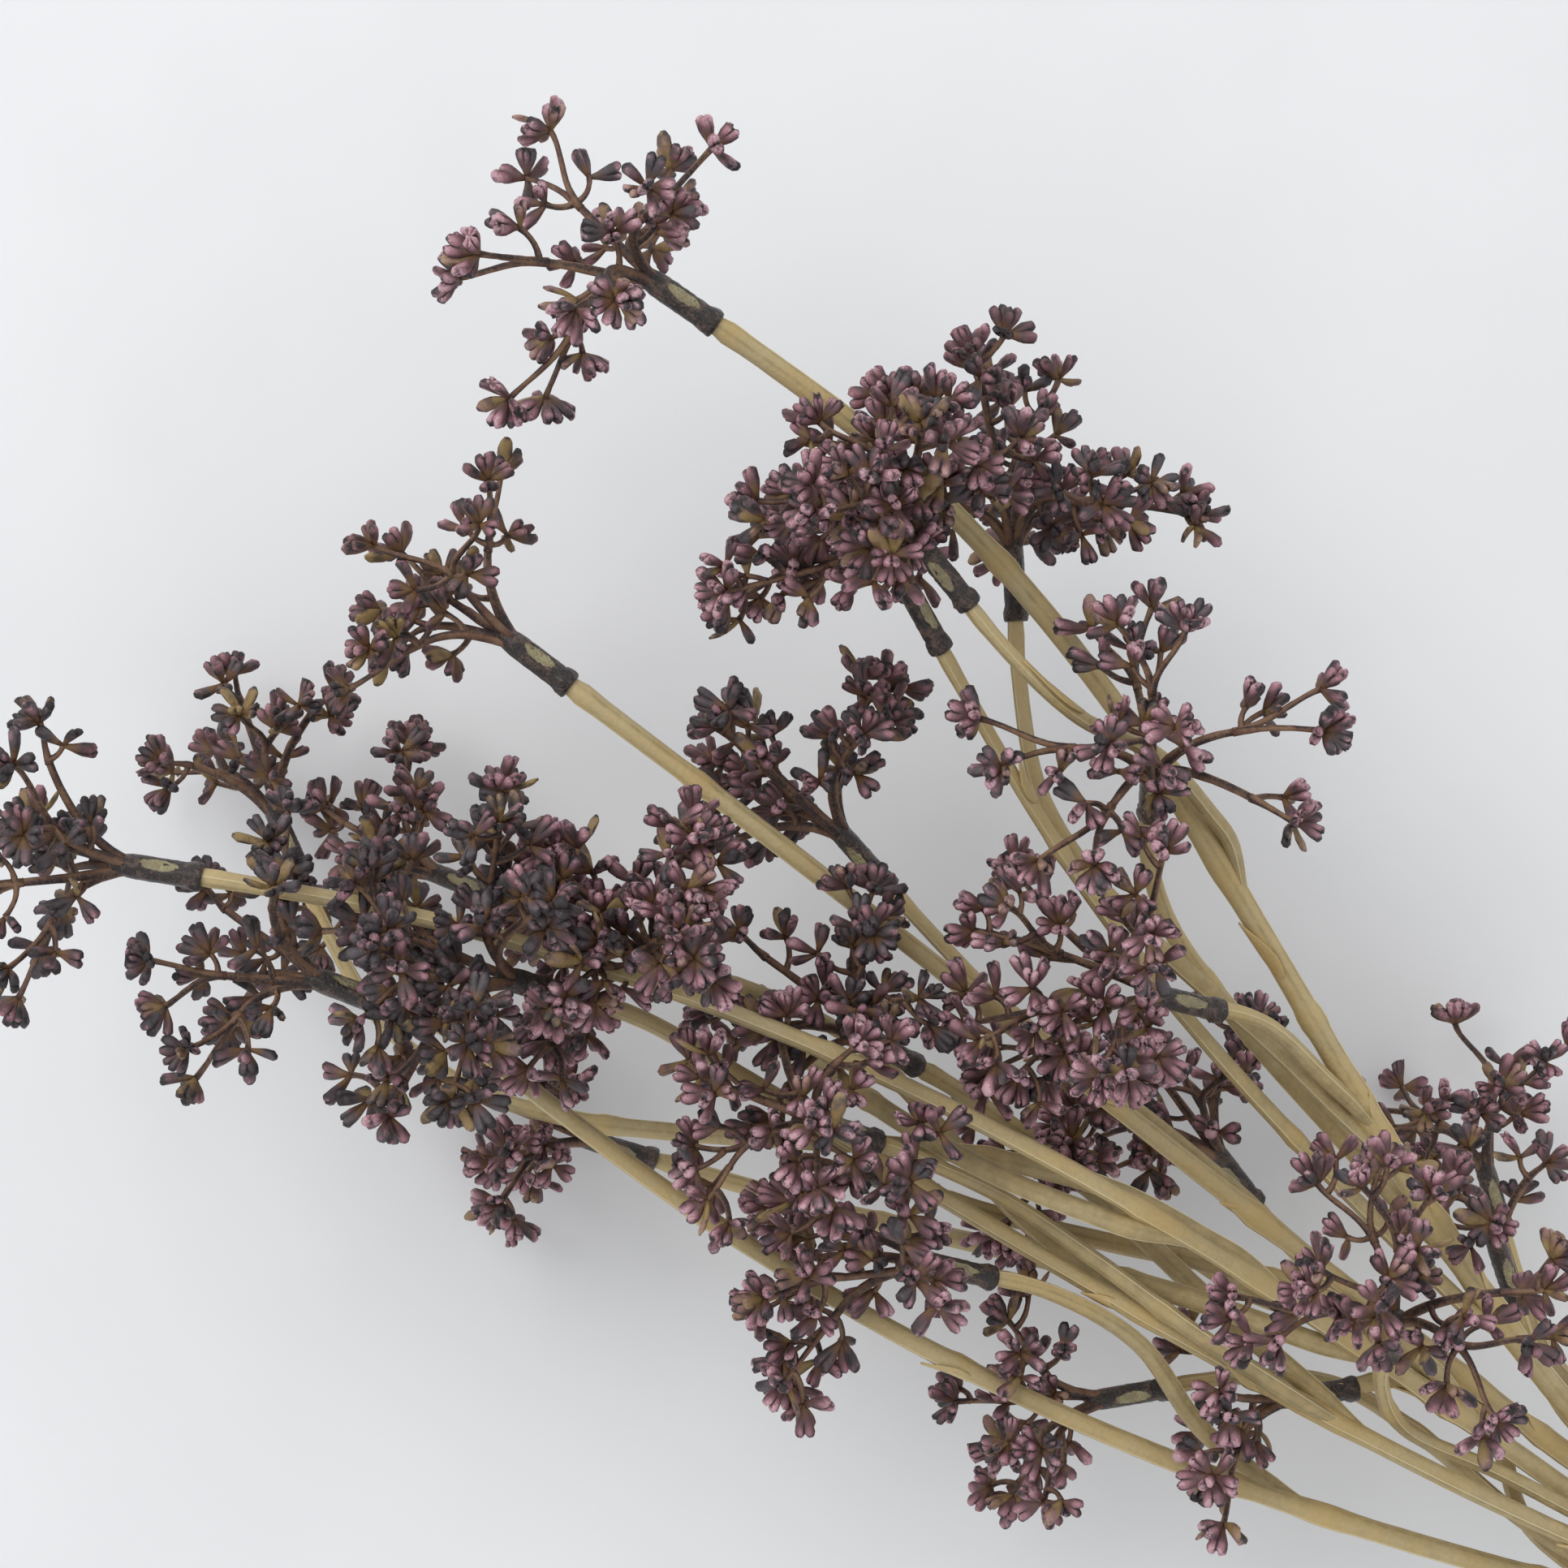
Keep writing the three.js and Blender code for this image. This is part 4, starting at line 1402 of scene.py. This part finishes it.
@dataclass
class Studio:
    """The camera, the table and the lights."""

    palette: Palette
    turn: float = 36.0
    lens: float = 86.0
    sensor: float = 36.0
    camera_height: float = 675.0
    camera_from_band: tuple[float, float] = (-238.46, 16.29)
    clip: tuple[float, float] = (0.01, 20.0)
    table_half: float = 1500.0
    table_depth: float = 30.0
    table_bevel: float = 4.0
    key_size: float = 1300.0
    key_power: float = 11.8
    key_place: tuple[float, float, float] = (-700.0, 780.0, 1400.0)
    key_aim: float = 40.0
    key_colour: tuple[float, float, float] = (1.0, 0.985, 0.965)
    sky: tuple[float, float, float] = (0.97, 0.985, 1.0)
    sky_strength: float = 0.78

    def build(self) -> None:
        """Sets the studio up."""
        low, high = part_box("band")
        middle = np.array((low + high) / 2)
        self.aim = np.array([*(middle[:2] / MM + self.camera_from_band), 0.0])
        self.camera()
        self.table()
        self.room()
        self.key_light()

    def camera(self) -> None:
        """The camera, looking straight down."""
        data = bpy.data.cameras.new("camera")
        data.lens = self.lens
        data.sensor_width = self.sensor
        data.clip_start, data.clip_end = self.clip
        made = placed("camera", data)
        made.location = (self.aim + UP * self.camera_height) * MM
        made.rotation_euler = (0.0, 0.0, math.radians(self.turn))
        bpy.context.scene.camera = made

    def table(self) -> None:
        """A plain pale table top, a bevelled slab whose top is at height 0."""
        half, bevel = self.table_half, self.table_bevel
        square = np.array([[-1, -1, 0], [1, -1, 0], [1, 1, 0], [-1, 1, 0]], float)
        levels = [(-self.table_depth, half), (-bevel, half), (0.0, half - bevel)]
        form = skin(np.array([square * size + UP * height for height, size in levels]))
        mesh = new_mesh("table_top", form.points, form.quads, form.tris, False)
        mesh.materials.append(self.palette.table)
        placed("table_top", mesh)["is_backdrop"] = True

    def room(self) -> None:
        """An even bright room, with its colours shown as they are."""
        world = bpy.data.worlds.new("room")
        world.use_nodes = True
        room = world.node_tree.nodes["Background"]
        room.inputs["Color"].default_value = (*self.sky, 1.0)
        room.inputs["Strength"].default_value = self.sky_strength
        bpy.context.scene.world = world
        bpy.context.scene.view_settings.view_transform = "Standard"

    def key_light(self) -> None:
        """A wide soft window light from one side."""
        turn = math.radians(self.turn)
        right = np.array([math.cos(turn), math.sin(turn), 0.0])
        over, back, high = self.key_place
        place = self.aim + right * over + np.cross(UP, right) * back + UP * high
        data = bpy.data.lights.new("window", "AREA")
        data.shape = "DISK"
        data.size = self.key_size * MM
        data.energy = self.key_power
        data.color = self.key_colour
        down = unit(self.aim + UP * self.key_aim - place)
        made = placed("window", data)
        made.location = place * MM
        made.rotation_euler = (math.acos(-down[2]), 0.0, math.atan2(down[1], down[0]) - math.pi / 2)


# ---- the bunch


@dataclass
class Bunch:
    """The whole bunch: rods, umbels and the twine round them."""

    palette: Palette
    rods: dict[str, Rod] = field(default_factory=dict)
    umbels: dict[str, Umbel] = field(default_factory=dict)

    def __post_init__(self) -> None:
        """Reads every rod and umbel from the frame."""
        kit = FlowerKit()
        for node in sorted(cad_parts):
            kind, _, key = node.partition("_")
            if kind in ("stem", "branch"):
                low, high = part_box("umbel_" + key)
                line, radius = FrameReader.rod_line(node, np.array((low + high) / 2) / MM)
                self.rods[key] = Rod(key, line, radius, self.palette, is_stem=kind == "stem")
        for key, rod in self.rods.items():
            others = np.vstack([other.path for name, other in self.rods.items() if name != key])
            self.umbels[key] = Umbel(key, rod.line, rod.radius, kit, self.palette, others)
            if rod.is_stem:
                starts = [r.line[0] for k, r in self.rods.items() if k[0] == key and not r.is_stem]
                rod.forks = np.array(starts).reshape(-1, 3)

    def build(self) -> None:
        """Builds every piece: stems, branches, umbels, and the band."""
        stems = [rod for rod in self.rods.values() if rod.is_stem]
        for stem in stems:
            stem.build()
        for key, rod in self.rods.items():
            if not rod.is_stem:
                rod.build(self.rods[key[0]].path)
        for umbel in self.umbels.values():
            umbel.build()
        TwineBand(self.palette).build([stem.path for stem in stems])


def write_sizes() -> None:
    """Works out the frame's box and the finished bunch's box, which are not kept."""
    boxes = {"cad": CAD_BOX, "visual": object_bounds()}
    {name: [list(corner) for corner in box] for name, box in boxes.items()}


def main() -> None:
    """Builds the studio and the bunch, and reports each piece."""
    logging.basicConfig(level=logging.INFO, format="%(message)s")
    palette = Palette()
    Studio(palette).build()
    Bunch(palette).build()
    write_sizes()


if __name__ == "__main__":
    main()
